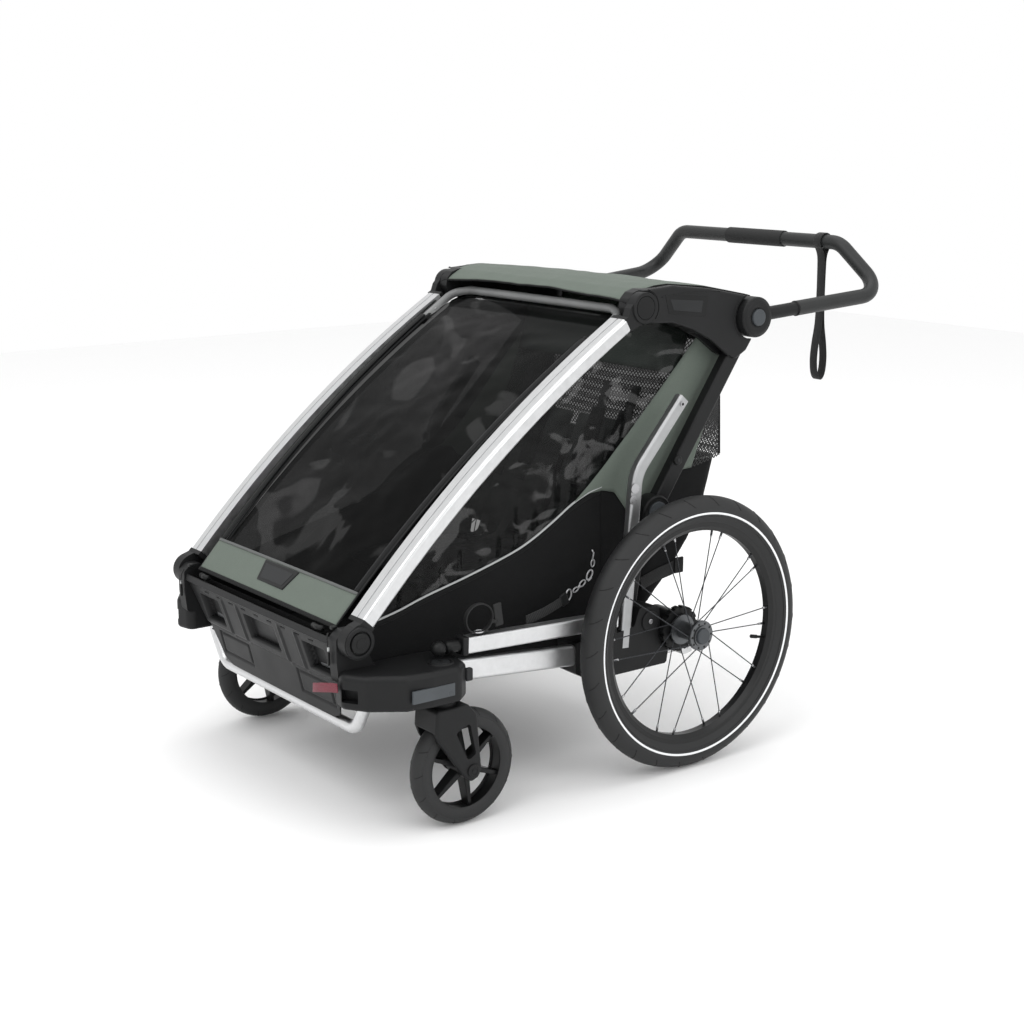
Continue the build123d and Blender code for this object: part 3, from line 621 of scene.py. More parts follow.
area("key", (0.6, -2.6, 3.2), (0, 0, 0.4), (3.0, 2.0), 44)
area("side", (3.4, 0.6, 2.2), (0, 0, 0.5), (2.4, 2.0), 26)
area("top", (0, 0.2, 3.6), (0, 0, 0.3), (3.0, 3.0), 34)
area("cabin_fill", (0, 0.045, 0.805), (0, -0.03, 0.3), (0.38, 0.08), 1.6)
for way in ("camera", "glossy", "transmission"):
    setattr(bpy.data.objects["cabin_fill"], f"visible_{way}", False)

floor_me = mesh_obj("studio_floor", [(-6000, -6000, -1), (6000, -6000, -1), (6000, 6000, -1), (-6000, 6000, -1)], [(0, 1, 2, 3)])
fm = bpy.data.materials.new("pale_floor")
fm.use_nodes = True
fm.node_tree.nodes["Principled BSDF"].inputs["Base Color"].default_value = (0.93, 0.93, 0.93, 1)
fm.node_tree.nodes["Principled BSDF"].inputs["Roughness"].default_value = 0.9
floor_me.data.materials.append(fm)


# ------------------------------------------------------------------ wheels
def tyre(name, x, y, z, R, w, bead_r, side, groove):
    """Slick tyre with a faint raised band round its crown; the short slanted slits on its shoulders are made apart from
    it.
    """
    prof = []
    hw = w / 2
    n = 30
    for k in range(n + 1):
        a = -math.radians(128) + 2 * math.radians(128) * k / n
        prof.append((hw * math.sin(a), (R - hw) + hw * math.cos(a)))
    prof = [(-13 * w / 47, bead_r)] + prof + [(13 * w / 47, bead_r)]
    count = groove

    def bump(a, j, px, pr):
        # slits lean with the turn and sit on the shoulders; their place is worked out here but not used, and only a
        # band round the crown is raised
        s = px / hw
        if pr < R - hw * 0.95:
            return 0
        lean = 0.035 * math.sin(abs(s) * 5) * (1 if s > 0 else -1)
        t = ((a + lean + (0.5 * 2 * math.pi / count if s > 0 else 0)) * count / (2 * math.pi)) % 1.0
        d = abs(t - 0.5) * 2 * math.pi / count * R
        if abs(s) < 0.14:
            return 0.25
        return 0

    o = lathe(name, [(x + side * px, pr) for px, pr in prof], y, z, 480 if R > 150 else 260, close=True,
              bump=lambda a, j, px, pr: bump(a, j, (px - x) * side, pr))
    for p in o.data.polygons:
        p.use_smooth = True
    return o


def ring_band(name, x, y, z, c, hw, a0, a1, side, lift, seg=200):
    """Band on the tyre's side between two angles of its section."""
    prof = []
    for k in range(5):
        a = a0 + (a1 - a0) * k / 4
        e = lift if 0 < k < 4 else lift * 0.2
        prof.append((x + side * (hw + e) * math.sin(a), c + (hw + e) * math.cos(a)))
    for k in range(4, -1, -1):
        a = a0 + (a1 - a0) * k / 4
        prof.append((x + side * (hw - 0.5) * math.sin(a), c + (hw - 0.5) * math.cos(a)))
    return lathe(name, prof, y, z, seg, close=True)


def slits(name, x, y, z, c, hw, count, lean, r):
    """Curved cuts over both shoulders of a tyre: thin tubes whose darker rubber is painted shade inside the cuts."""
    out = []
    for sx in (1, -1):
        for k in range(count):
            base = 2 * math.pi * (k + (0.5 if sx > 0 else 0)) / count
            pts = []
            for q in range(8):
                a = math.radians(16 + 52 * q / 7) * sx
                w = base + lean * (q / 7) ** 1.6
                px, pr = (hw - 0.15) * math.sin(a), c + (hw - 0.15) * math.cos(a)
                pts.append((x + px, y + pr * math.sin(w), z + pr * math.cos(w)))
            out.append(tube(f"{name}_{sx}_{k}", pts, r, 6))
    return join(name, out)


for s, side in SIDES:
    body = f"wheel_{side}"
    t = tyre(f"tyre_skin_{side}", s * 365, 0, 250, 250, 47, 204, s, 44)
    put(t, TYRE, body, "tyre", f"tyre_{side}")
    # the slits' darker rubber is painted shade in the cuts
    put(slits(f"tyre_slits_{side}", s * 365, 0, 250, 226.5, 23.5, 26, 0.055, 0.8), SLIT_SHADE, body, "tyre")
    st = ring_band(f"tyre_stripe_{side}", s * 365, 0, 250, 226.5, 23.5, math.radians(98), math.radians(107), s, 0.35)
    put(st, STRIPE, body, "tyre")
    lip = ring_band(f"tyre_lip_{side}", s * 365, 0, 250, 226.5, 23.5, math.radians(116), math.radians(121), s, 0.9)
    put(lip, TYRE, body, "tyre")
    # silver nipples where the spokes meet the rim
    nip = []
    for k in range(20):
        a = 2 * math.pi * (k // 2) / 10 + (0.09 if k % 2 else -0.09)
        b = a + (0.62 if k % 2 else -0.62)
        fx = 25.2 if k % 2 else -23
        p0 = Vector((fx, 22.5 * math.cos(b), 22.5 * math.sin(b)))
        p1 = Vector((4.0 if k % 2 else -4.0, 188.0 * math.cos(a), 188.0 * math.sin(a)))
        d = (p1 - p0).normalized()
        q0, q1 = p1 - d * 12, p1 - d * 1.5
        c = Vector((s * 365, 0, 250))
        m3 = Matrix(((s, 0, 0), (0, 1, 0), (0, 0, 1)))
        nip.append(tube(f"n{k}", [c + m3 @ q0, c + m3 @ (q0 + d * 2), c + m3 @ q1], 2.15, 10))
    nipples = join(f"spoke_nipples_{side}", nip)
    put(nipples, STEEL, body, "steel")
    # valve stem with its cap
    va = math.radians(-13)
    d = Vector((0, math.cos(va), math.sin(va)))
    c = Vector((s * 365, 0, 250))
    v = tube(f"valve_stem_{side}", [c + d * 187, c + d * 172, c + d * 171, c + d * 158], 2.6, 12)
    put(v, BLACK_S, body, "black_plastic")
    vc = tube(f"valve_cap_{side}", [c + d * 170.5, c + d * 160, c + d * 156], 3.6, 12)
    put(vc, BLACK, body, "black_plastic")
    # ring of bolts holes, drawn as black discs of painted shade, and face plate on the outer flange
    fp = disc_x(f"hub_face_{side}", s * (365 + 27.6), s * (365 + 28.6), 0, 250, 26.5, 0.6, 60, hole=19)
    put(fp, HUBM, body, "black_metal")
    holes = [disc_x(f"h{k}", s * (365 + 28.4), s * (365 + 28.9), 22.6 * math.sin(2 * math.pi * (k + 0.5) / 10), 250 + 22.6 * math.cos(2 * math.pi * (k + 0.5) / 10), 2.3, 0.2, 14) for k in range(10)]
    put(join(f"flange_holes_{side}", holes), BLACK_S, body, "black_metal")
    # caster tyre
    cb = f"caster_roller_{side}"
    ct = tyre(f"caster_tread_{side}", s * 335, -485, 100, 100, 38, 83.5, s, 26)
    put(ct, TYRE, cb, "tyre", f"caster_tyre_{side}")
    # the caster slits' darker rubber is painted shade in the cuts
    put(slits(f"caster_slits_{side}", s * 335, -485, 100, 81, 19, 14, 0.09, 0.7), SLIT_SHADE, cb, "tyre")
    cl = ring_band(f"caster_lip_{side}", s * 335, -485, 100, 81, 19, math.radians(62), math.radians(70), s, 0.7, 140)
    put(cl, TYRE, cb, "tyre")
    # hex bolt on the fork's outer face
    hexs = []
    for k in range(6):
        a = math.pi / 3 * k
        hexs.append((-485 + 4.2 * math.cos(a), 100 + 4.2 * math.sin(a)))
    hx = prism(f"caster_bolt_socket_{side}", hexs, s * 371.55, s * 372.2)
    put(hx, BLACK_S, f"caster_{side}", "black_plastic")
    wsh = disc_x(f"caster_washer_{side}", s * 369.2, s * 371.8, -485, 100, 11.5, 1.0, 40, hole=6.8)
    put(wsh, BLACK_S, f"caster_{side}", "black_plastic")

# ------------------------------------------------------------------ body outline helpers
def circle3(p, q, r):
    ax, ay, bx, by, cx, cy = *p, *q, *r
    d = 2 * (ax * (by - cy) + bx * (cy - ay) + cx * (ay - by))
    ux = ((ax * ax + ay * ay) * (by - cy) + (bx * bx + by * by) * (cy - ay) + (cx * cx + cy * cy) * (ay - by)) / d
    uy = ((ax * ax + ay * ay) * (cx - bx) + (bx * bx + by * by) * (ax - cx) + (cx * cx + cy * cy) * (bx - ax)) / d
    return ux, uy, math.hypot(ax - ux, ay - uy)


ACY, ACZ, AR = circle3((-649, 372), (-395.6, 612.0), (-111, 814))
B0 = math.atan2(372 - ACZ, -649 - ACY)
B1 = math.atan2(814 - ACZ, -111 - ACY)


def on_arc(t, inset):
    b = B0 + (B1 - B0) * t
    return ACY + (AR - inset) * math.cos(b), ACZ + (AR - inset) * math.sin(b)


ARC_IN = [on_arc(t / 60, 30) for t in range(0, 61)]
PIPE = [(-640, 341), (-560, 357), (-501, 374), (-410, 396), (-324, 420), (-278, 438), (-230, 464), (-187, 490), (-150, 506), (-120, 513)]
BRIDGE_LOW = [(-82, 808), (-40, 802), (0, 800), (46, 786), (92, 764), (134, 734), (156, 724), (182, 738), (198, 760)]
BRIDGE_TOP = [(-94, 831), (-90, 846), (-79, 857), (-62, 862), (0, 866), (90, 856), (193, 836), (220, 825)]
REAR_LINE = [(-120, 513), (-70, 556), (-20, 612), (30, 668), (80, 722), (120, 748)]


def pipe_z(y):
    return interp(y, PIPE)


def win_top(y):
    a = interp(y, ARC_IN)
    if y > -96:
        b = interp(y, [(-96, 797)] + [(p, q + 14) for p, q in BRIDGE_LOW[1:]])
        return b
    return min(a, 810)


def win_bot(y):
    if y <= -120:
        return pipe_z(y)
    return interp(y, REAR_LINE)


# ------------------------------------------------------------------ side walls of the body
for s, side in SIDES:
    def wall_fn(u, v):
        y = -640 + u * 574
        top = pipe_z(y) if y < -120 else interp(y, [(-120, 513), (-90, 508), (-66, 470)])
        z = 226 + (top - 226) * v
        swell = 3.0 * hump(v) * hump(u) + 0.9 * wob(y, z, s * 40, 0.02) + 0.5 * wob(y, z, s * 9, 0.05)
        tuck = 7 * (1 - ease(v / 0.12))
        return (s * (250.5 + swell - tuck), y, z)

    w = grid(f"lower_side_{side}", wall_fn, 110, 46, thick=1.6)
    put(w, CLOTH, "frame", "black_fabric", "side_panels") if s > 0 else put(w, CLOTH, "frame", "black_fabric")
    # light piping on the seam
    pts = [(s * 253.2, y, z + 0.5) for y, z in PIPE]
    pp = tube(f"side_piping_{side}", pts, 1.9, 8, sub=6)
    put(pp, PIPING, "frame", "grey_webbing")
    # second seam with a black tape just below it
    tape = grid(f"seam_tape_{side}", lambda u, v: (s * (251.8 + 0.6 * hump(v)), -638 + 516 * u, pipe_z(-638 + 516 * u) - 3 - 9 * v), 90, 4, thick=0.8)
    put(tape, BIND, "frame", "black_fabric")
    # short tail of the seam down behind the bent pillar
    tail = grid(f"side_tail_{side}", lambda u, v: (s * (251.5 + 0.8 * hump(u)), -120 + 62 * v, 513 - 250 * u - 30 * v * (1 - u)), 40, 8, thick=1.4)
    put(tail, CLOTH, "frame", "black_fabric")

    # clear side window with soft waves along its lower edge
    def win_fn(u, v):
        y = -622 + u * 742
        lo, hi = win_bot(y) + 1, win_top(y)
        hi = max(hi, lo + 1)
        z = lo + (hi - lo) * v
        d = z - lo
        h = hi - lo
        near = math.exp(-d / 42.0) * (1 - math.exp(-d / 8.0)) * min(1, h / 60)
        lobe = math.sin(y * 0.155 + 1.6 * wob(y, 0, 5, 0.012)) * (0.6 + 0.6 * wob(y, 3, 8, 0.02))
        wave = 6.0 * near * lobe
        top_w = 2.6 * math.exp(-(hi - z) / 50.0) * wob(y * 1.0, z * 2.2, 3, 0.022) * 1.6
        sag = -3.2 * hump(v) * hump(u)
        lean = 1.4 * wob(y + z, y - z, 2, 0.008)
        x = 250.2 + sag + wave * 0.8 + top_w + lean * hump(v)
        return (s * min(x, 257.5), y, z)

    wf = grid(f"side_window_{side}", win_fn, 240, 70)
    for p in wf.data.polygons:
        p.use_smooth = True
    put(wf, FOIL_S, "frame", "window_film", *(["side_windows"] if s > 0 else []))
    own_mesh(wf)

    # black binding round the window along the pillar and under the bridge
    def bind_fn(u, v):
        y = -628 + u * 760
        return (s * (251.6 + 1.0 * hump(v)), y, max(win_top(y), win_bot(y)) + 2 - 13 * v)

    bd = grid(f"window_binding_{side}", bind_fn, 120, 4, thick=1.2)
    put(bd, BIND, "frame", "black_fabric")
    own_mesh(bd)

    # green strip from the bridge down to a point on the piping
    strip_lo = [(-182, 492), (-150, 505), (-118, 507), (-90, 500), (-60, 462), (-24, 440), (24, 500), (88, 590), (140, 664), (180, 722)]
    strip_hi = [(-182, 494), (-150, 520), (-118, 548), (-96, 569), (-60, 603), (-10, 652), (40, 702), (84, 747), (112, 776), (140, 776), (180, 760)]

    def strip_fn(u, v):
        y = -182 + u * 362
        lo, hi = interp(y, strip_lo), interp(y, strip_hi)
        hi = max(hi, lo + 1)
        z = lo + (hi - lo) * v
        return (s * (253.4 + 1.1 * hump(v) + 0.5 * wob(y, z, 1, 0.03)), y, z)

    gs = grid(f"green_strip_{side}", strip_fn, 70, 8, thick=1.2)
    put(gs, GREEN, "frame", "green_fabric")
    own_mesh(gs)

# ------------------------------------------------------------------ floor liner
fl = grid("floor_liner", lambda u, v: (-248 + 496 * u, -640 + 600 * v, 225.5 + 1.6 * wob(u * 30, v * 30, 1, 0.2) - 2.2 * hump(u) * hump(v)), 60, 60, thick=2.0)
put(fl, CLOTH, "frame", "black_fabric", "floor")
# inner front wall behind the guard
fw = grid("front_wall", lambda u, v: (-244 + 488 * u, -634 - 22 * v, 226 + 104 * v + 0), 40, 16, thick=2.0)
put(fw, CLOTH, "frame", "black_fabric")

# ------------------------------------------------------------------ front cover
def cover_fn(t0, t1, inset, hw, wave=0.0):
    def fn(u, v):
        t = t0 + (t1 - t0) * u
        x = -hw + 2 * hw * v
        w = wave * (wob(x, t * 900, 4, 0.011) + 0.5 * wob(x, t * 900, 9, 0.03))
        y, z = on_arc(t, inset + w - 2.0 * hump(v) * hump(u) * (1 if wave else 0))
        return (x, y, z)
    return fn


def arc_taper(t):
    """Half width of the cover: it narrows to the front."""
    return 240 + 21 * t


def cover_piece(name, t0, t1, x0, x1, inset, nu, nv, thick, wave=0.0, crown=0.0):
    def fn(u, v):
        t = t0 + (t1 - t0) * u
        a = x0(t) + (x1(t) - x0(t)) * v
        w = wave * (wob(a, t * 900, 4, 0.010) + 0.45 * wob(a, t * 900, 9, 0.028)) * hump(v)
        y, z = on_arc(t, inset + w - crown * hump(v))
        return (a, y, z)
    return grid(name, fn, nu, nv, thick=thick)


def film_fn(u, v):
    t = 0.05 + 0.93 * min(1.0, u / 0.93)
    hw = arc_taper(t) - 6 - 13 * ease((u - 0.84) / 0.06)
    a = -hw + 2 * hw * v
    w = 3.4 * (wob(a, t * 900, 4, 0.010) + 0.45 * wob(a, t * 900, 9, 0.028)) * hump(v)
    y, z = on_arc(t, 9.5 + 5 * ease((t - 0.86) / 0.1) + w * (1 - ease((t - 0.9) / 0.08)) - 2.0 * hump(v))
    if u > 0.93:
        k = (u - 0.93) / 0.07
        y += 50 * k
        z += 18 * k
    return (a, y, z)


fc = grid("front_foil_sheet", film_fn, 120, 90)
put(fc, FOIL_F, "front_frame", "window_film", "front_window")
for s, side in SIDES:
    # inner grey strip with the zip, then the black tape against the pillar
    g = cover_piece(f"cover_grey_strip_{side}", 0.056, 0.915, lambda t: s * (arc_taper(t) - 19), lambda t: s * (arc_taper(t) - 3), 4.6, 90, 4, 1.4, crown=0.8)
    put(g, SATIN, "front_frame", "black_fabric")
    b = cover_piece(f"cover_tape_{side}", -0.045, 0.98, lambda t: s * (arc_taper(t) - 2), lambda t: s * (arc_taper(t) + 0.5 + 0.0 * t), 5.5, 90, 3, 2.0, crown=0.6)
    put(b, BIND, "front_frame", "black_fabric")
    e = cover_piece(f"cover_inner_tape_{side}", 0.02, 0.93, lambda t: s * (arc_taper(t) - 24), lambda t: s * (arc_taper(t) - 15), 8.8, 90, 3, 1.2, crown=0.5)
    put(e, BIND, "front_frame", "black_fabric")
    zp = [(s * (arc_taper(t) - 2.0), *on_arc(t, 5.0)) for t in np.linspace(-0.04, 0.93, 60)]
    z1 = tube(f"zip_coil_{side}", zp, 1.5, 8)
    put(z1, BLACK_S, "front_frame", "black_plastic")

bandt = cover_piece("cover_green_band", -0.04, 0.052, lambda t: -arc_taper(0) + 2 + 0 * t, lambda t: arc_taper(0) - 2, 4.5, 14, 60, 1.6, wave=1.0, crown=1.5)
put(bandt, GREEN, "front_frame", "green_fabric", "cover_band")
hem = cover_piece("cover_band_hem", 0.049, 0.056, lambda t: -arc_taper(0) + 2, lambda t: arc_taper(0) - 2, 3.6, 3, 60, 2.2, crown=1.5)
put(hem, HEM, "front_frame", "green_fabric")
hem2 = cover_piece("cover_band_foot", -0.046, -0.036, lambda t: -arc_taper(0) + 2, lambda t: arc_taper(0) - 2, 3.8, 3, 60, 2.4, crown=1.5)
put(hem2, BIND, "front_frame", "black_fabric")


def arc_frame(t, inset):
    y, z = on_arc(t, inset)
    y2, z2 = on_arc(t + 0.01, inset)
    d = Vector((0, y2 - y, z2 - z)).normalized()
    nrm = Vector((1, 0, 0)).cross(d).normalized()
    return Vector((0, y, z)), d, -nrm


def badge_on_arc(name, t, outline, inset, thick, mat, rnd):  # blank, tapered plate
    o, d, nrm = arc_frame(t, inset)
    if nrm.z < 0:
        nrm = -nrm
    pts = [o + Vector((1, 0, 0)) * a + d * b for a, b in outline]
    n = len(pts)
    verts = [p for p in pts] + [p + nrm * thick for p in pts]
    faces = [tuple(range(n)), tuple(range(2 * n - 1, n - 1, -1))] + [(i, (i + 1) % n, n + (i + 1) % n, n + i) for i in range(n)]
    ob = mesh_obj(name, verts, faces, smooth=False)
    bevel(ob, rnd, 3)
    soft_edges(ob, 50)
    return ob


bd1 = badge_on_arc("front_badge_rim", 0.016, [(-45, -18), (45, -18), (58, 22), (-58, 22)], 4.0, 3.6, BLACK, 3)
put(bd1, BLACK_S, "front_frame", "black_plastic")
bd2 = badge_on_arc("front_badge_plate", 0.016, [(-37, -12), (37, -12), (46, 15), (-46, 15)], 0.9, 1.0, GREYD, 1)
put(bd2, GREYD, "front_frame", "grey_plastic")

# small black hooks at the foot of the band
for s, side in SIDES:
    hk = tube(f"band_hook_{side}", [(s * 214, -674, 341), (s * 200, -676, 340), (s * 186, -675, 341)], 5.0, 14)
    put(hk, BLACK_S, "front_frame", "black_plastic")
    # zip pull hanging beside the pivot
    c0 = Vector((s * 254, -688, 346))
    pull = tube(f"zip_pull_cord_{side}", [c0, c0 + Vector((s * 3, -4, -8)), c0 + Vector((s * 6, -5, -20)), c0 + Vector((s * 7, -4, -30))], 1.2, 8, sub=4)
    put(pull, WEB, "front_frame", "grey_webbing")
    tag = block(f"zip_pull_tag_{side}", c0 + Vector((s * 7.6, -4, -41)), (3.4, 4.6, 22), 1.4)
    put(tag, BLACK_S, "front_frame", "black_plastic")
    tg = block(f"zip_pull_dash_{side}", c0 + Vector((s * 7.2, -4.4, -25)), (3.0, 3.6, 7), 1.0)
    put(tg, PIPING, "front_frame", "grey_plastic")
    sl = block(f"zip_slider_{side}", Vector((s * 251, -676, 352)), (9, 10, 6), 1.8)
    put(sl, BLACK_S, "front_frame", "black_plastic")
    # knob ring at the front pivot
    kn = lathe(f"front_knob_ring_{side}", [(s * 303.1, 19), (s * 303.1, 27), (s * 305.6, 26), (s * 306.6, 23.5), (s * 306.2, 20.5), (s * 304.4, 19.2)], -659, 335, 48, close=True)
    put(kn, BLACK, "front_frame", "black_plastic")
    tear = prism(f"front_knob_mark_{side}", [(-659 + 9 * math.cos(a), 335 + 9 * math.sin(a)) for a in np.linspace(0.9, 5.4, 16)] + [(-650, 345)], s * 307.9, s * 308.7, 0.4)
    put(tear, BLACK_S, "front_frame", "black_plastic")
    # top joint ring
    tr = lathe(f"top_joint_ring_{side}", [(s * 302.4, 20.5), (s * 302.4, 28), (s * 304.2, 27.2), (s * 304.5, 24), (s * 303.6, 21)], -66, 831, 48, close=True)
    put(tr, BLACK, "front_frame", "black_plastic")
    # handlebar hub ring round the grey button
    hr = lathe(f"hub_ring_{side}", [(s * 316.8, 18.5), (s * 316.8, 33), (s * 318.8, 31), (s * 319.4, 26), (s * 318.6, 20), (s * 317.4, 17.4)], 193, 799, 56, close=True)
    put(hr, BLACK, "handlebar", "black_plastic")
    # fold joint cover lip
    fr = lathe(f"fold_hub_lip_{side}", [(s * 299.8, 23), (s * 299.8, 31.5), (s * 301.6, 30), (s * 302, 26), (s * 301, 23.2)], -28, 461, 56, close=True)
    put(fr, BLACK_S, "rear_struts", "black_plastic")
    # small rivet knob on the rear strut
    rk = disc_x(f"strut_knob_{side}", s * 293.8, s * 299, 22, 552, 9, 2)
    put(rk, BLACK_S, "rear_struts", "black_plastic")
    rk2 = disc_x(f"strut_knob_eye_{side}", s * 299, s * 299.8, 22, 552, 3.4, 0.4)
    put(rk2, GREYD, "rear_struts", "black_plastic")
    # hole near the top of the bent pillar
    for k, (yy, zz, rr) in enumerate(((5, 659, 2.6),)):
        # the hole is a black disc of painted shade
        hh = disc_x(f"pillar_hole_{side}_{k}", s * 325.2, s * 326.1, yy, zz, rr, 0.3, 20)
        put(hh, BLACK_S, "frame", "black_plastic")
    # socket screw in the lower disc
    sc = disc_x(f"disc_screw_{side}", s * 325.9, s * 327.4, -62, 272, 4.6, 0.8, 24)
    put(sc, STEEL, "frame", "steel")
    dc = disc_x(f"disc_cover_{side}", s * 323.1, s * 326.3, -62, 272, 19, 2.0, 48)
    put(dc, BLACK, "frame", "black_plastic")

# ------------------------------------------------------------------ roof
def roof_z(y):
    return interp(y, BRIDGE_TOP)


def roof_fn(u, v):
    x = -283 + 566 * v
    e = abs(2 * v - 1)
    y0 = -90 + 10 * (1 - e ** 2)
    y = y0 + (204 - y0) * u
    z = interp(y, [(-92, 838), (-80, 848), (-60, 859), (-30, 865), (0, 866.5), (90, 857.5), (193, 837.5), (206, 834)])
    lift = 1.6
    crown = 3.5 * (1 - e ** 2) * hump(u)
    sag = 2.2 * wob(x, y, 2, 0.009) * (1 - e ** 4) + 0.9 * wob(x, y, 5, 0.03) * (1 - e ** 6)
    front = 0.8 * math.exp(-(y - y0) / 16.0) * math.sin(x * 0.035) * (1 - e ** 2)
    side_drop = 0.0 if e < 0.97 else (e - 0.97) / 0.03 * 2.0
    return (x, y, z + lift + crown + sag + front - side_drop)


rf = grid("roof_canopy", roof_fn, 90, 120, thick=1.4)
put(rf, GREEN, "upper_frame", "green_fabric", "roof")


def roof_edge(v, d):
    x, y, z = roof_fn(0.0, v)
    return Vector((x, y - 1.0, z - 1 + d))


rh = tube("roof_front_hem", [roof_edge(v, 0) for v in np.linspace(0.005, 0.995, 60)], 1.9, 8)
put(rh, BIND, "upper_frame", "black_fabric")
for s, side in SIDES:
    ed = tube(f"roof_side_piping_{side}", [Vector(roof_fn(u, 0.5 + s * 0.4985)) + Vector((0, 0, 0.4)) for u in np.linspace(0.0, 1.0, 40)], 1.5, 8)
    put(ed, BIND, "upper_frame", "black_fabric")
# back flap of the roof, down to the mesh
def flap_fn(u, v):
    x = -258 + 516 * v
    y = 204 - 14 * u + 0.0
    z = 835.5 - 92 * u
    y = interp(u, [(0, 205), (0.12, 203), (0.5, 196), (1, 190)])
    return (x, y + 2.0 * wob(x, z, 3, 0.012), z)


bf = grid("roof_back_flap", flap_fn, 24, 60, thick=1.4)
put(bf, GREEN, "upper_frame", "green_fabric")

# ------------------------------------------------------------------ rear mesh, bag
def rear_line(z):
    return interp(z, [(536, 171), (620, 168), (690, 165), (745, 187)])


def diamond_mesh(name, fn, nu, nv, r):
    """Open net: crossed yarns over a surface, each a thin three-sided strip."""
    verts, edges = [], []
    ids = {}
    for i in range(nu + 1):
        for j in range(nv + 1):
            if (i + j) % 2 == 0:
                ids[(i, j)] = len(verts)
                verts.append(fn(i / nu, j / nv))
    faces = []
    for i in range(nu):
        for j in range(nv + 1):
            for dj in (1, -1):
                if (i + j) % 2 == 0 and 0 <= j + dj <= nv:
                    edges.append((ids[(i, j)], ids[(i + 1, j + dj)]))
    V, F = [], []
    for a, b in edges:
        p, q = Vector(verts[a]), Vector(verts[b])
        t = (q - p).normalized()
        w = t.cross(Vector((0, 1, 0)) if abs(t.y) < 0.9 else Vector((1, 0, 0))).normalized()
        h = t.cross(w)
        k = len(V)
        for c in (p, q):
            V += [c + w * r, c - w * r * 0.5 + h * r * 0.86, c - w * r * 0.5 - h * r * 0.86]
        F += [(k, k + 1, k + 4, k + 3), (k + 1, k + 2, k + 5, k + 4), (k + 2, k, k + 3, k + 5)]
    return mesh_obj(name, V, F, smooth=False)


net = diamond_mesh("rear_net", lambda u, v: (-247.5 + 495 * v, rear_line(540 + 205 * u) - 5 * hump(u) * hump(v), 540 + 205 * u), 44, 104, 1.1)
put(net, MESHM, "frame", "mesh", "rear_mesh")
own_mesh(net)
for s, side in SIDES:
    # green borders of the back beside the net, coming round to the rear strut
    def side_edge(z):
        return interp(z, [(517, 27), (560, 56), (620, 97), (690, 144), (742, 184)])

    def side_cut(z):
        return interp(z, [(517, 94), (600, 128), (690, 163), (742, 187)])

    def side_green(u, v):
        yf = side_edge(518) + 0
        z0 = 518 + 5 * v
        z = z0 + (742 - z0) * u
        yf, yr = side_edge(z), max(side_cut(z), side_edge(z) + 1)
        y = yf + (yr - yf) * v
        return (s * (251.5 + 0.8 * wob(y, z, 7, 0.02)), y, z)

    def side_net(u, v):
        z0 = 522 + 15 * v
        z = z0 + (736 - z0) * u
        yf, yr = side_cut(z), rear_line(max(z, 537))
        yr = max(yr, yf + 0.5)
        return (s * (251 - 3.5 * v ** 3), yf + (yr - yf) * v, z)

    sn = diamond_mesh(f"rear_side_net_{side}", side_net, 44, 18, 1.35)
    put(sn, MESHM, "frame", "mesh")
    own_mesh(sn)
    gside = grid(f"rear_green_side_{side}", side_green, 40, 24, thick=1.2)
    put(gside, GREEN, "frame", "green_fabric")
    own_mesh(gside)
    cornerp = [(s * 248, rear_line(z), z) for z in range(540, 746, 12)]
    ce = tube(f"rear_corner_seam_{side}", cornerp, 2.0, 8)
    put(ce, BIND, "frame", "black_fabric")
    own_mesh(ce)

BAG_B = [(262, -8), (290, 26), (330, 62), (386, 108), (458, 147), (536, 169)]
BAG_F = [(262, -12), (300, -24), (330, -29), (420, 6), (516, 40), (536, 46)]


def bag_fn(u, v):
    """u goes round the bag, v from its foot to its rim."""
    z = 262 + 274 * v
    yb, yf = interp(z, BAG_B), interp(z, BAG_F)
    w = 247 - 10 * (1 - ease(v / 0.25))
    depth = (yb - yf) / 2
    r = min(26.0, max(1.5, depth * 0.9))
    # rounded rectangle through angle
    per = [2 * w - 2 * r, math.pi / 2 * r, 2 * depth - 2 * r, math.pi / 2 * r] * 2
    tot = sum(per)
    d = u * tot
    cy = (yb + yf) / 2
    corners = [(w - r, depth - r), (w - r, -depth + r), (-w + r, -depth + r), (-w + r, depth - r)]
    k = 0
    while d > per[k] and k < 7:
        d -= per[k]
        k += 1
    if k % 2 == 0:
        a = [((-w + r, depth), (w - r, depth)), ((w, depth - r), (w, -depth + r)), ((w - r, -depth), (-w + r, -depth)), ((-w, -depth + r), (-w, depth - r))][k // 2]
        f = d / per[k] if per[k] > 0 else 0
        x, y = a[0][0] + (a[1][0] - a[0][0]) * f, a[0][1] + (a[1][1] - a[0][1]) * f
    else:
        c = corners[(k - 1) // 2]
        a0 = [math.pi / 2, 0, -math.pi / 2, math.pi][(k - 1) // 2]
        ang = a0 - d / r
        x, y = c[0] + r * math.cos(ang), c[1] + r * math.sin(ang)
    y += cy
    out = 1 if y > cy else -1
    sag = 5.0 * hump((x / w + 1) / 2) * hump(v) * (1 if out > 0 else 0.3)
    wr = 1.6 * wob(x, y + z, z, 0.018) + 0.7 * wob(x, y, z, 0.05)
    return (x + 0.8 * wob(y, z, x, 0.03), y + out * sag * 0.5 + wr * (0.4 + 0.6 * v), z)


bag = grid("cargo_bag_shell", bag_fn, 220, 44, close_u=True, thick=1.8)
put(bag, CLOTH, "frame", "black_fabric", "cargo_bag")
rimp = [Vector(bag_fn(u, 1.0)) + Vector((0, 0, 0.5)) for u in np.linspace(0, 1, 140, endpoint=False)]
br_ = tube("cargo_bag_piping", rimp, 2.0, 8, closed=True)
put(br_, PIPING, "frame", "grey_webbing")
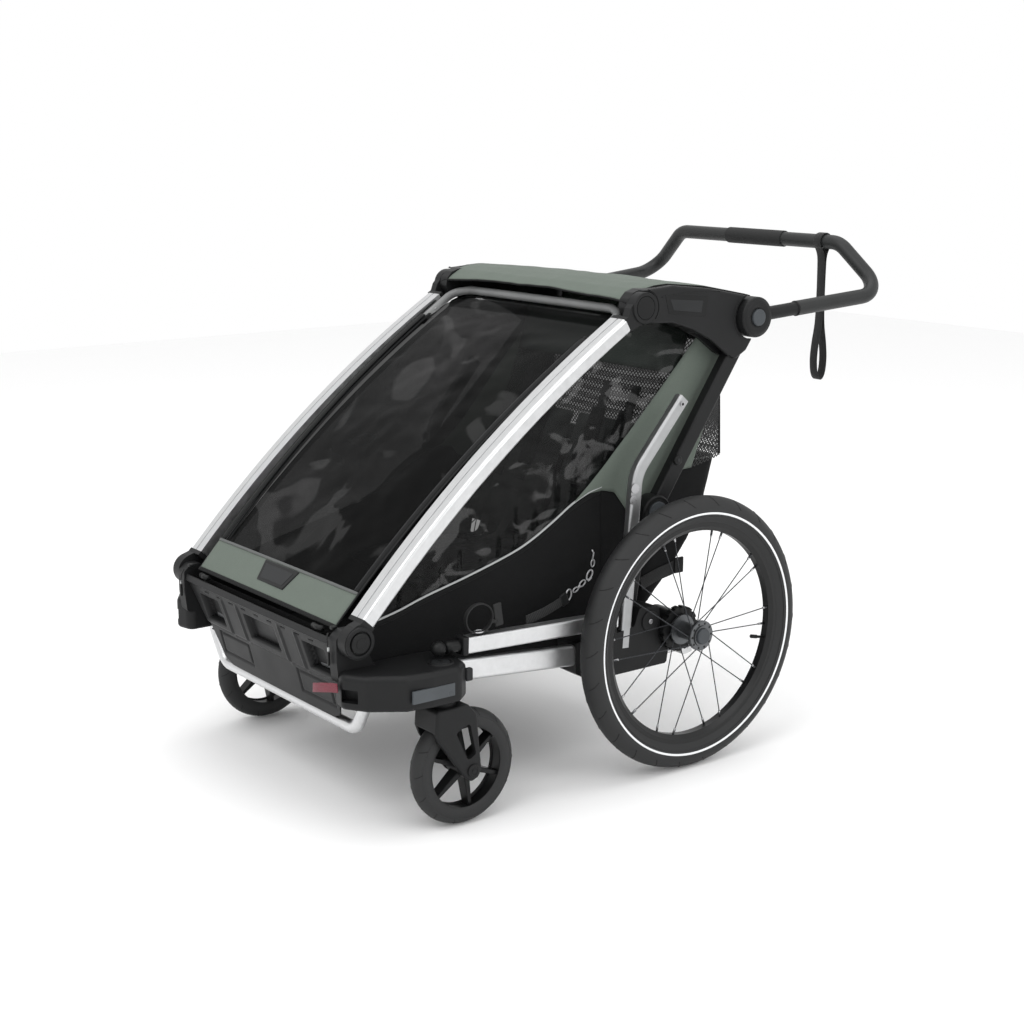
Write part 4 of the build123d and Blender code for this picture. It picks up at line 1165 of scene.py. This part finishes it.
# two sewn lines across the bag's back
for k, zz in enumerate((400, 470)):
    lp = [(x, interp(zz, BAG_B) + 5.2 * hump((x / 240 + 1) / 2) * 0.5 + 2.2, zz) for x in range(-225, 226, 15)]
    sm = tube(f"bag_seam_{k}", lp, 1.1, 6)
    put(sm, BIND, "frame", "black_fabric")
for s, side in SIDES:
    # compression strap with its buckle on the bag's side
    st = ribbon(f"bag_strap_{side}", [(s * 249.6, -20, 318), (s * 250.4, 20, 330), (s * 250.6, 52, 336), (s * 249.6, 74, 341)], 24, 1.8, across=(0, 0.3, -1))
    put(st, WEB, "frame", "grey_webbing")
    bk_ = block(f"bag_buckle_{side}", (s * 252.5, 70, 341), (5, 22, 30), 2.2)
    put(bk_, BLACK, "frame", "black_plastic")
    bk2 = block(f"bag_buckle_slot_{side}", (s * 255.2, 70, 341), (1.2, 6, 20), 0.5)
    put(bk2, BLACK_S, "frame", "black_plastic")

# ------------------------------------------------------------------ footwell guard
def guard_fn(u, v):
    """u across, v from the foot to the top lip."""
    hw = interp(v, [(0, 178), (0.06, 200), (0.5, 232), (1, 256)])
    x = -hw + 2 * hw * u
    z = 172 + 157 * v
    y = interp(v, [(0, -636), (0.5, -655), (0.86, -673), (1, -681)])
    dep = 0.0
    ax = abs(x)
    # three pockets in the upper row
    def pocket(cx, w, z0, z1, d, soft=5.0):
        fx = max(0, min(1, (w - abs(x - cx)) / soft))
        fz = max(0, min(1, min(z - z0, z1 - z) / soft))
        return d * ease(fx) * ease(fz)
    dep += pocket(0, 54, 258, 308, 11, 4.0)
    dep += pocket(-184, 36, 256, 308, 15, 3.5) + pocket(184, 36, 256, 308, 15, 3.5)
    dep += 4.0 * ease((250 - z) / 5)
    # grooved rectangles below
    for cx in (-140, 140):
        for w, z0, z1, d in ((58, 192, 240, 2.4),):
            inner = pocket(cx, w, z0, z1, 1.0, 3.0) - pocket(cx, w - 7, z0 + 6, z1 - 6, 1.0, 3.0)
            dep += d * inner
    # ribs beside the pockets
    for cx in (-74, 74, -130, 130):
        dep -= 3.0 * max(0, 1 - abs(x - cx) / 7) * ease((z - 236) / 20) * ease((322 - z) / 14)
    # small slots under the lip
    for k in range(-4, 5):
        dep += pocket(k * 46, 9, 314, 318.5, 3, 2.0)
    crown = 6 * (1 - (x / hw) ** 2) * (0.4 + 0.6 * v)
    return (x, y - crown * 0.35 + dep, z)


gd = grid("footwell_guard_skin", guard_fn, 300, 120, thick=2.4, offset=1.0)
put(gd, BLACK, "frame", "black_plastic", "footwell_guard")
gl = ribbon("guard_lip", [(x, -683 - 2.0 * (1 - (x / 256) ** 2), 330) for x in range(-256, 257, 16)], 12, 4.5, across=(0, 0.15, 1), sub=2)
put(gl, BLACK, "frame", "black_plastic")
for s, side in SIDES:
    rp = grid(f"guard_reflector_{side}", lambda u, v: (s * 184 - 22 + 50 * u, -647.2 - 7.6 * v, 262 + 40 * v), 6, 6, thick=0.8)
    put(rp, INSERT, "frame", "grey_plastic")

# red webbing loop by the near corner
for s, side in ((1, "left"),):
    rd = ribbon("red_strap", [(288, -693.2, 263), (268, -694.6, 259), (244, -695, 253.5), (222, -694, 247), (209, -691.5, 243), (206, -689, 242), (210, -688, 243), (228, -688.5, 247), (250, -689, 253), (262, -690.5, 257), (280, -691.5, 261)], 15, 1.4, across=(0, 0.05, 1))
    put(rd, RED, "frame", "grey_webbing")

# ------------------------------------------------------------------ housings: recess rings, button marks and grey keys
for s, side in SIDES:
    rg = lathe(f"housing_recess_ring_{side}", [(286.0, 16.6), (286.0, 22), (288.4, 21), (288.9, 19), (287.4, 16.9)], s * 335, -525, 48, close=True, axis="Z")
    put(rg, BLACK, "frame", "black_plastic")
    key = block(f"caster_button_mark_{side}", (s * 335, -525, 288.3), (9, 3.2, 1.0), 0.4)
    put(key, BLACK_S, f"caster_release_{side}", "grey_plastic")
    gk = block(f"housing_grey_key_{side}", (s * 352, -482, 262), (10, 14, 22), 3)
    put(gk, GREYD, "frame", "grey_plastic")
# ------------------------------------------------------------------ handlebar extras
c = Vector((182, 499, 916))
loop_pts = [c + Vector((0, 16.8 * math.cos(math.radians(a)), 16.8 * math.sin(math.radians(a)))) for a in np.linspace(-55, 235, 15)]
down = [c + Vector(v) for v in ((0, -3.2, -30), (0, -1.8, -60), (0, -1.6, -110), (0, -3.5, -160), (0, -10.5, -200), (0, -13.5, -232), (0, -10, -260), (0, 0, -272), (0, 10, -260), (0, 13.5, -232), (0, 10.5, -200), (0, 3.5, -160), (0, 1.6, -110), (0, 1.8, -60), (0, 3.2, -30))]
ws = ribbon("wrist_strap_webbing", loop_pts + down, 19, 1.7, across=(1, 0, 0), sub=5, closed=True)
put(ws, WEB, "wrist_loop", "grey_webbing", "wrist_strap")
kp = block("wrist_strap_keeper", c + Vector((0, 0, -118)), (22, 8, 12), 2)
put(kp, BLACK_S, "wrist_loop", "black_plastic")
# thin seam ring where the insert meets the tube
a0 = Vector((299, 227, 801.7)); a1 = Vector((328, 514, 826)); ad = (a1 - a0).normalized()
for s, side in SIDES:
    m3 = Vector((s, 1, 1))
    q = a0 + ad * 73
    pr = [Vector((s * v.x, v.y, v.z)) for v in (q - ad * 1.4, q + ad * 1.4)]
    sr = tube(f"bar_joint_ring_{side}", pr, 14.35, 28)
    put(sr, BLACK_S, "handlebar", "dark_tube")

# ------------------------------------------------------------------ towing arm extras
tarm = Vector((0, 282, -11)).normalized()
t0 = Vector((321, -470, 302.5))
pl_ = block("tow_plug_sleeve", t0 - tarm * 3, (27, 12, 31), 2.5, rot=Matrix.Rotation(math.atan2(tarm.z, tarm.y), 3, "X"))
put(pl_, BLACK, "tow", "black_plastic")
nk = tube("tow_neck_ribs", [t0 - tarm * 8, t0 - tarm * 14, t0 - tarm * 26, t0 - tarm * 36], 10.2, 24)
put(nk, BLACK_S, "tow", "black_plastic")
# rubber strap holding the arm, and the steel hooks on their tether
rs = ribbon("tow_rubber_strap", [(323, -440 + 27 * math.cos(q), 343 + 25 * math.sin(q)) for q in np.linspace(0, 2 * math.pi, 14, endpoint=False)], 9, 2.4, across=(1, 0, 0), sub=4, closed=True)
put(rs, GRIPM, "frame", "grip_rubber")
rt = block("tow_rubber_tab", (323, -400, 343), (4.5, 17, 40), 2.2, rot=Matrix.Rotation(math.radians(8), 3, "X"))
put(rt, GRIPM, "frame", "grip_rubber")
tb = tube("tow_rubber_bridge", [(323, -416, 334), (323, -409, 333), (323, -402, 332)], 3.6, 12)
put(tb, GRIPM, "frame", "grip_rubber")
tk = tube("tow_rubber_loop", [(323 + 7 * math.cos(q), -440 + 9 * math.sin(q), 320.5) for q in np.linspace(0, 2 * math.pi, 16, endpoint=False)], 1.4, 8, closed=True)
put(tk, STEEL, "frame", "steel")
tb2 = block("tether_buckle", (300, -240, 337), (4, 16, 22), 2.0, rot=Matrix.Rotation(math.radians(22), 3, "X"))
put(tb2, BLACK_S, "frame", "black_plastic")
te = ribbon("tow_tether", [(309, -330, 317), (303, -290, 322), (300, -258, 330), (300, -238, 338)], 17, 2.0, across=(0.1, -0.35, 1))
put(te, WEB, "frame", "grey_webbing")


def hook(name, c, d, r, wire):
    """Spring hook: an oval of wire with a swivel eye."""
    d = Vector(d).normalized()
    n = Vector((1, 0, 0))
    w = d.cross(n).normalized()
    c = Vector(c)
    pts = [c + d * r * 1.7 * math.cos(a) + w * r * math.sin(a) for a in np.linspace(0, 2 * math.pi, 18, endpoint=False)]
    return tube(name, pts, wire, 8, closed=True)


h1 = join("tether_hooks", [hook("h1", (299, -230, 343), (0, 0.2, 1), 6.0, 1.5), hook("h2", (299, -214, 350), (0, 1, 0.5), 3.6, 1.3), hook("h3", (299, -199, 359), (0, 1, 0.7), 4.4, 1.3), hook("h4", (299, -183, 372), (0, 0.6, 1), 5.4, 1.5), hook("h5", (299, -176, 392), (0, 0.1, 1), 3.8, 1.3),
                            tube("h6", [(299, -208, 353), (299, -204, 356)], 2.8, 10), tube("h7", [(299, -190, 366), (299, -186, 361), (299, -178, 366)], 1.3, 8), tube("h8", [(299, -177, 398), (299, -174, 410), (299, -178, 416)], 1.4, 8)])
put(h1, STEEL, "frame", "steel")

# ------------------------------------------------------------------ bow fittings
for s, side in SIDES:
    pb = block(f"bow_foot_{side}", (s * 256, -152, 768), (9, 18, 14), 3, rot=Matrix.Rotation(math.radians(38), 3, "X"))
    put(pb, BLACK_S, "front_frame", "black_plastic")
    for k, (yy, zz) in enumerate(((-130, 788), (-146, 775))):
        rv = block(f"bow_rivet_{side}_{k}", (s * 246.2, yy, zz), (2.4, 4, 4), 1.2)
        put(rv, STEEL, "front_frame", "steel")
    def arc_bead(name, cy, cz, r, a0, a1, x, w):
        pts = [(s * x, cy + r * math.cos(math.radians(a)), cz + r * math.sin(math.radians(a))) for a in np.linspace(a0, a1, 28)]
        return put(tube(name, pts, w, 8), BLACK_S, "upper_frame", "black_plastic")

    arc_bead(f"bridge_seam_rear_{side}", 193, 799, 44, 112, 236, 300.9, 1.0)
    arc_bead(f"bridge_seam_front_{side}", -66, 831, 32, -40, 78, 301.2, 1.0)
    arc_bead(f"bridge_seam_long_{side}", 60, 10, 842, 86.5, 96.0, 300.9, 0.8)
    # blank recessed badge on the bridge
    bp = prism(f"bridge_badge_rim_{side}", [(-20, 851), (84, 842), (79, 806), (-10, 817)], s * 300.6, s * 301.6, 0.6)
    put(bp, BLACK_S, "upper_frame", "black_plastic")
    bp2 = prism(f"bridge_badge_face_{side}", [(-8, 842.5), (70, 835.5), (66.5, 815), (0, 823)], s * 301.0, s * 302.0, 0.4)
    put(bp2, GREYD, "upper_frame", "grey_plastic")

# ------------------------------------------------------------------ seats
def cushion(name, x0, x1, base, thick, nx, ny, channels, mat, body, bulge=1.0, simulate=True):
    """Padded panel: base(v) gives y, z along its length; it is crowned, with sewn channels."""
    def point(u, v, top):
        x = x0 + (x1 - x0) * u
        y, z, n = base(v)
        e = (1 - (2 * u - 1) ** 6) * (1 - (2 * v - 1) ** 6)
        e = max(0.0, e) ** 0.5
        pinch = 0.0
        for cu in channels[0]:
            pinch += 0.55 * math.exp(-((u - cu) * abs(x1 - x0) / 5.0) ** 2)
        for cv in channels[1]:
            pinch += 0.5 * math.exp(-((v - cv) * 260 / 5.0) ** 2)
        h = thick / 2 * e * (1 - min(0.7, pinch)) + 0.8
        h += 0.8 * wob(x, y, z, 0.02)
        k = h if top else -h * 0.6
        in_x = 3.0 * (1 - hump(v)) * (1 if u < 0.5 else -1) * (abs(2 * u - 1) ** 3)
        return (x + in_x, y + n[0] * k, z + n[1] * k)

    verts, faces = [], []
    for top in (True, False):
        for i in range(nx + 1):
            for j in range(ny + 1):
                verts.append(point(i / nx, j / ny, top))
    m = (nx + 1) * (ny + 1)
    for i in range(nx):
        for j in range(ny):
            a, b, c_, d = i * (ny + 1) + j, (i + 1) * (ny + 1) + j, (i + 1) * (ny + 1) + j + 1, i * (ny + 1) + j + 1
            faces.append((a, b, c_, d))
            faces.append((m + d, m + c_, m + b, m + a))
    for i in range(nx):
        for j in (0, ny):
            a, b = i * (ny + 1) + j, (i + 1) * (ny + 1) + j
            faces.append((a, m + a, m + b, b))
    for j in range(ny):
        for i in (0, nx):
            a, b = i * (ny + 1) + j, i * (ny + 1) + j + 1
            faces.append((a, b, m + b, m + a))
    o = mesh_obj(name, verts, faces)
    sim(o, simulate)
    paint(o, mat)
    return o


def sim(o, simulate=True, steps=18, pressure=3.5, cap=0.006):
    """Inflates a padded piece with cloth pressure; each point moves at most cap metres."""
    if simulate:
        rest = np.array([v.co for v in o.data.vertices], float)
        m = o.modifiers.new("Cloth", "CLOTH")
        st = m.settings
        st.quality = 5
        st.mass = 0.3
        st.use_pressure = True
        st.uniform_pressure_force = pressure
        st.tension_stiffness = 20
        st.compression_stiffness = 20
        st.shear_stiffness = 10
        st.bending_stiffness = 2
        st.effector_weights.gravity = 0
        m.collision_settings.use_collision = False
        sc_ = bpy.context.scene
        for f in range(1, steps + 1):
            sc_.frame_set(f)
        dg = bpy.context.evaluated_depsgraph_get()
        me = o.evaluated_get(dg).to_mesh()
        now = np.array([v.co for v in me.vertices], float)
        o.evaluated_get(dg).to_mesh_clear()
        o.modifiers.remove(m)
        sc_.frame_set(1)
        d = now - rest
        ln = np.linalg.norm(d, axis=1, keepdims=True)
        d = d * np.minimum(1.0, cap / np.maximum(ln, 1e-9))
        d[~np.isfinite(d)] = 0
        new = rest + d
        o.data.vertices.foreach_set("co", new.ravel())
        o.data.update()
    s_ = o.modifiers.new("smooth", "SUBSURF")
    s_.levels = s_.render_levels = 1
    bake_mods(o)
    for p in o.data.polygons:
        p.use_smooth = True
    return o


def seat_base_line(v):
    return (-352 + 262 * v, 322 + 0 * v, (0.0, 1.0))


def back_line(v):
    y, z = -66 + 150 * v, 360 + 352 * v
    n = Vector((-352, 150)).normalized()
    return (y - 8, z, (n.x, n.y))


halves = []
for k, (xa, xb) in enumerate(((-234, -4), (4, 234))):
    cb_ = cushion(f"seat_cushion_{k}", xa, xb, seat_base_line, 36, 26, 28, ((0.5,), (0.34, 0.68)), CLOTH2, "frame")
    put(cb_, CLOTH2, "frame", "black_fabric", *(["seat_base"] if k == 0 else []))
    bc = cushion(f"seat_back_{k}", xa, xb, lambda v: back_line(v * 0.7), 20, 26, 36, ((0.26, 0.74), (0.3, 0.62)), SEATG, "frame")
    put(bc, SEATG, "frame", "black_fabric", *(["seat_backs"] if k == 0 else []))
    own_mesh(bc)
    cx = (xa + xb) / 2
    for q, dx in enumerate((-42, 42)):
        pts = []
        for v in np.linspace(0.02, 0.86, 12):
            y, z, n = back_line(v)
            pts.append((cx + dx * (0.75 + 0.25 * v), y + n[0] * 13.5, z + n[1] * 13.5))
        pts = [(cx + dx * 0.45, -118, 352), (cx + dx * 0.6, -96, 356)] + pts
        sp_ = ribbon(f"shoulder_strap_{k}_{q}", pts, 24, 1.8, across=(1, 0, 0), sub=3)
        put(sp_, WEB, "frame", "grey_webbing", *(["harness"] if (k, q) == (0, 0) else []))
        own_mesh(sp_)
        pad_pts = []
        for v in np.linspace(0.36, 0.72, 8):
            y, z, n = back_line(v)
            pad_pts.append((cx + dx * (0.75 + 0.25 * v), y + n[0] * 17, z + n[1] * 17))
        pd = ribbon(f"strap_pad_{k}_{q}", pad_pts, 44, 7, across=(1, 0, 0), sub=4, taper=lambda t: 0.72 + 0.28 * hump(0.1 + 0.8 * t))
        bevel(pd, 2, 2)
        put(pd, CLOTH, "frame", "black_fabric")
        bake_mods(pd)
        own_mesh(pd)
        y, z, n = back_line(0.3)
        tg_ = block(f"strap_slider_{k}_{q}", (cx + dx * 0.82, y + n[0] * 17, z + n[1] * 17), (30, 5, 18), 1.6, rot=Matrix.Rotation(math.radians(-23), 3, "X"))
        put(tg_, BLACK_S, "frame", "black_plastic")
        bake_mods(tg_)
        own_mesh(tg_)
    bl = block(f"lap_buckle_{k}", (cx, -140, 353), (44, 36, 12), 5)
    put(bl, BLACK, "frame", "black_plastic")
    bb = block(f"lap_buckle_button_{k}", (cx, -142, 359), (18, 18, 5), 4)
    put(bb, BLACK_S, "frame", "grey_plastic")
    cs = ribbon(f"crotch_strap_{k}", [(cx, -232, 343), (cx, -200, 347), (cx, -158, 351)], 26, 1.8, across=(1, 0, 0))
    put(cs, WEB, "frame", "grey_webbing")
    for q, dx in enumerate((-1, 1)):
        lp_ = ribbon(f"lap_strap_{k}_{q}", [(cx + dx * 22, -136, 352), (cx + dx * 60, -112, 350), (cx + dx * 96, -84, 356), (cx + dx * 106, -74, 372)], 24, 1.8, across=(0.2, 1, 0.3))
        put(lp_, WEB, "frame", "grey_webbing")

# net window above the seat backs, with a green header
net2 = diamond_mesh("back_net", lambda u, v: (-238 + 476 * v, back_line(0.69 + 0.27 * u)[0] + 3 * hump(v), back_line(0.69 + 0.27 * u)[1]), 24, 104, 0.8)
head = grid("back_header", lambda u, v: (-240 + 480 * v, back_line(0.955)[0] + 34 * u, back_line(0.955)[1] + 108 * u), 10, 40, thick=1.4)
# the header takes the darker green copy, which is painted shade
put(head, GREEN_SHADED, "frame", "green_fabric")
bake_mods(head)
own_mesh(head)
put(net2, MESHM, "frame", "mesh")
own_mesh(net2)
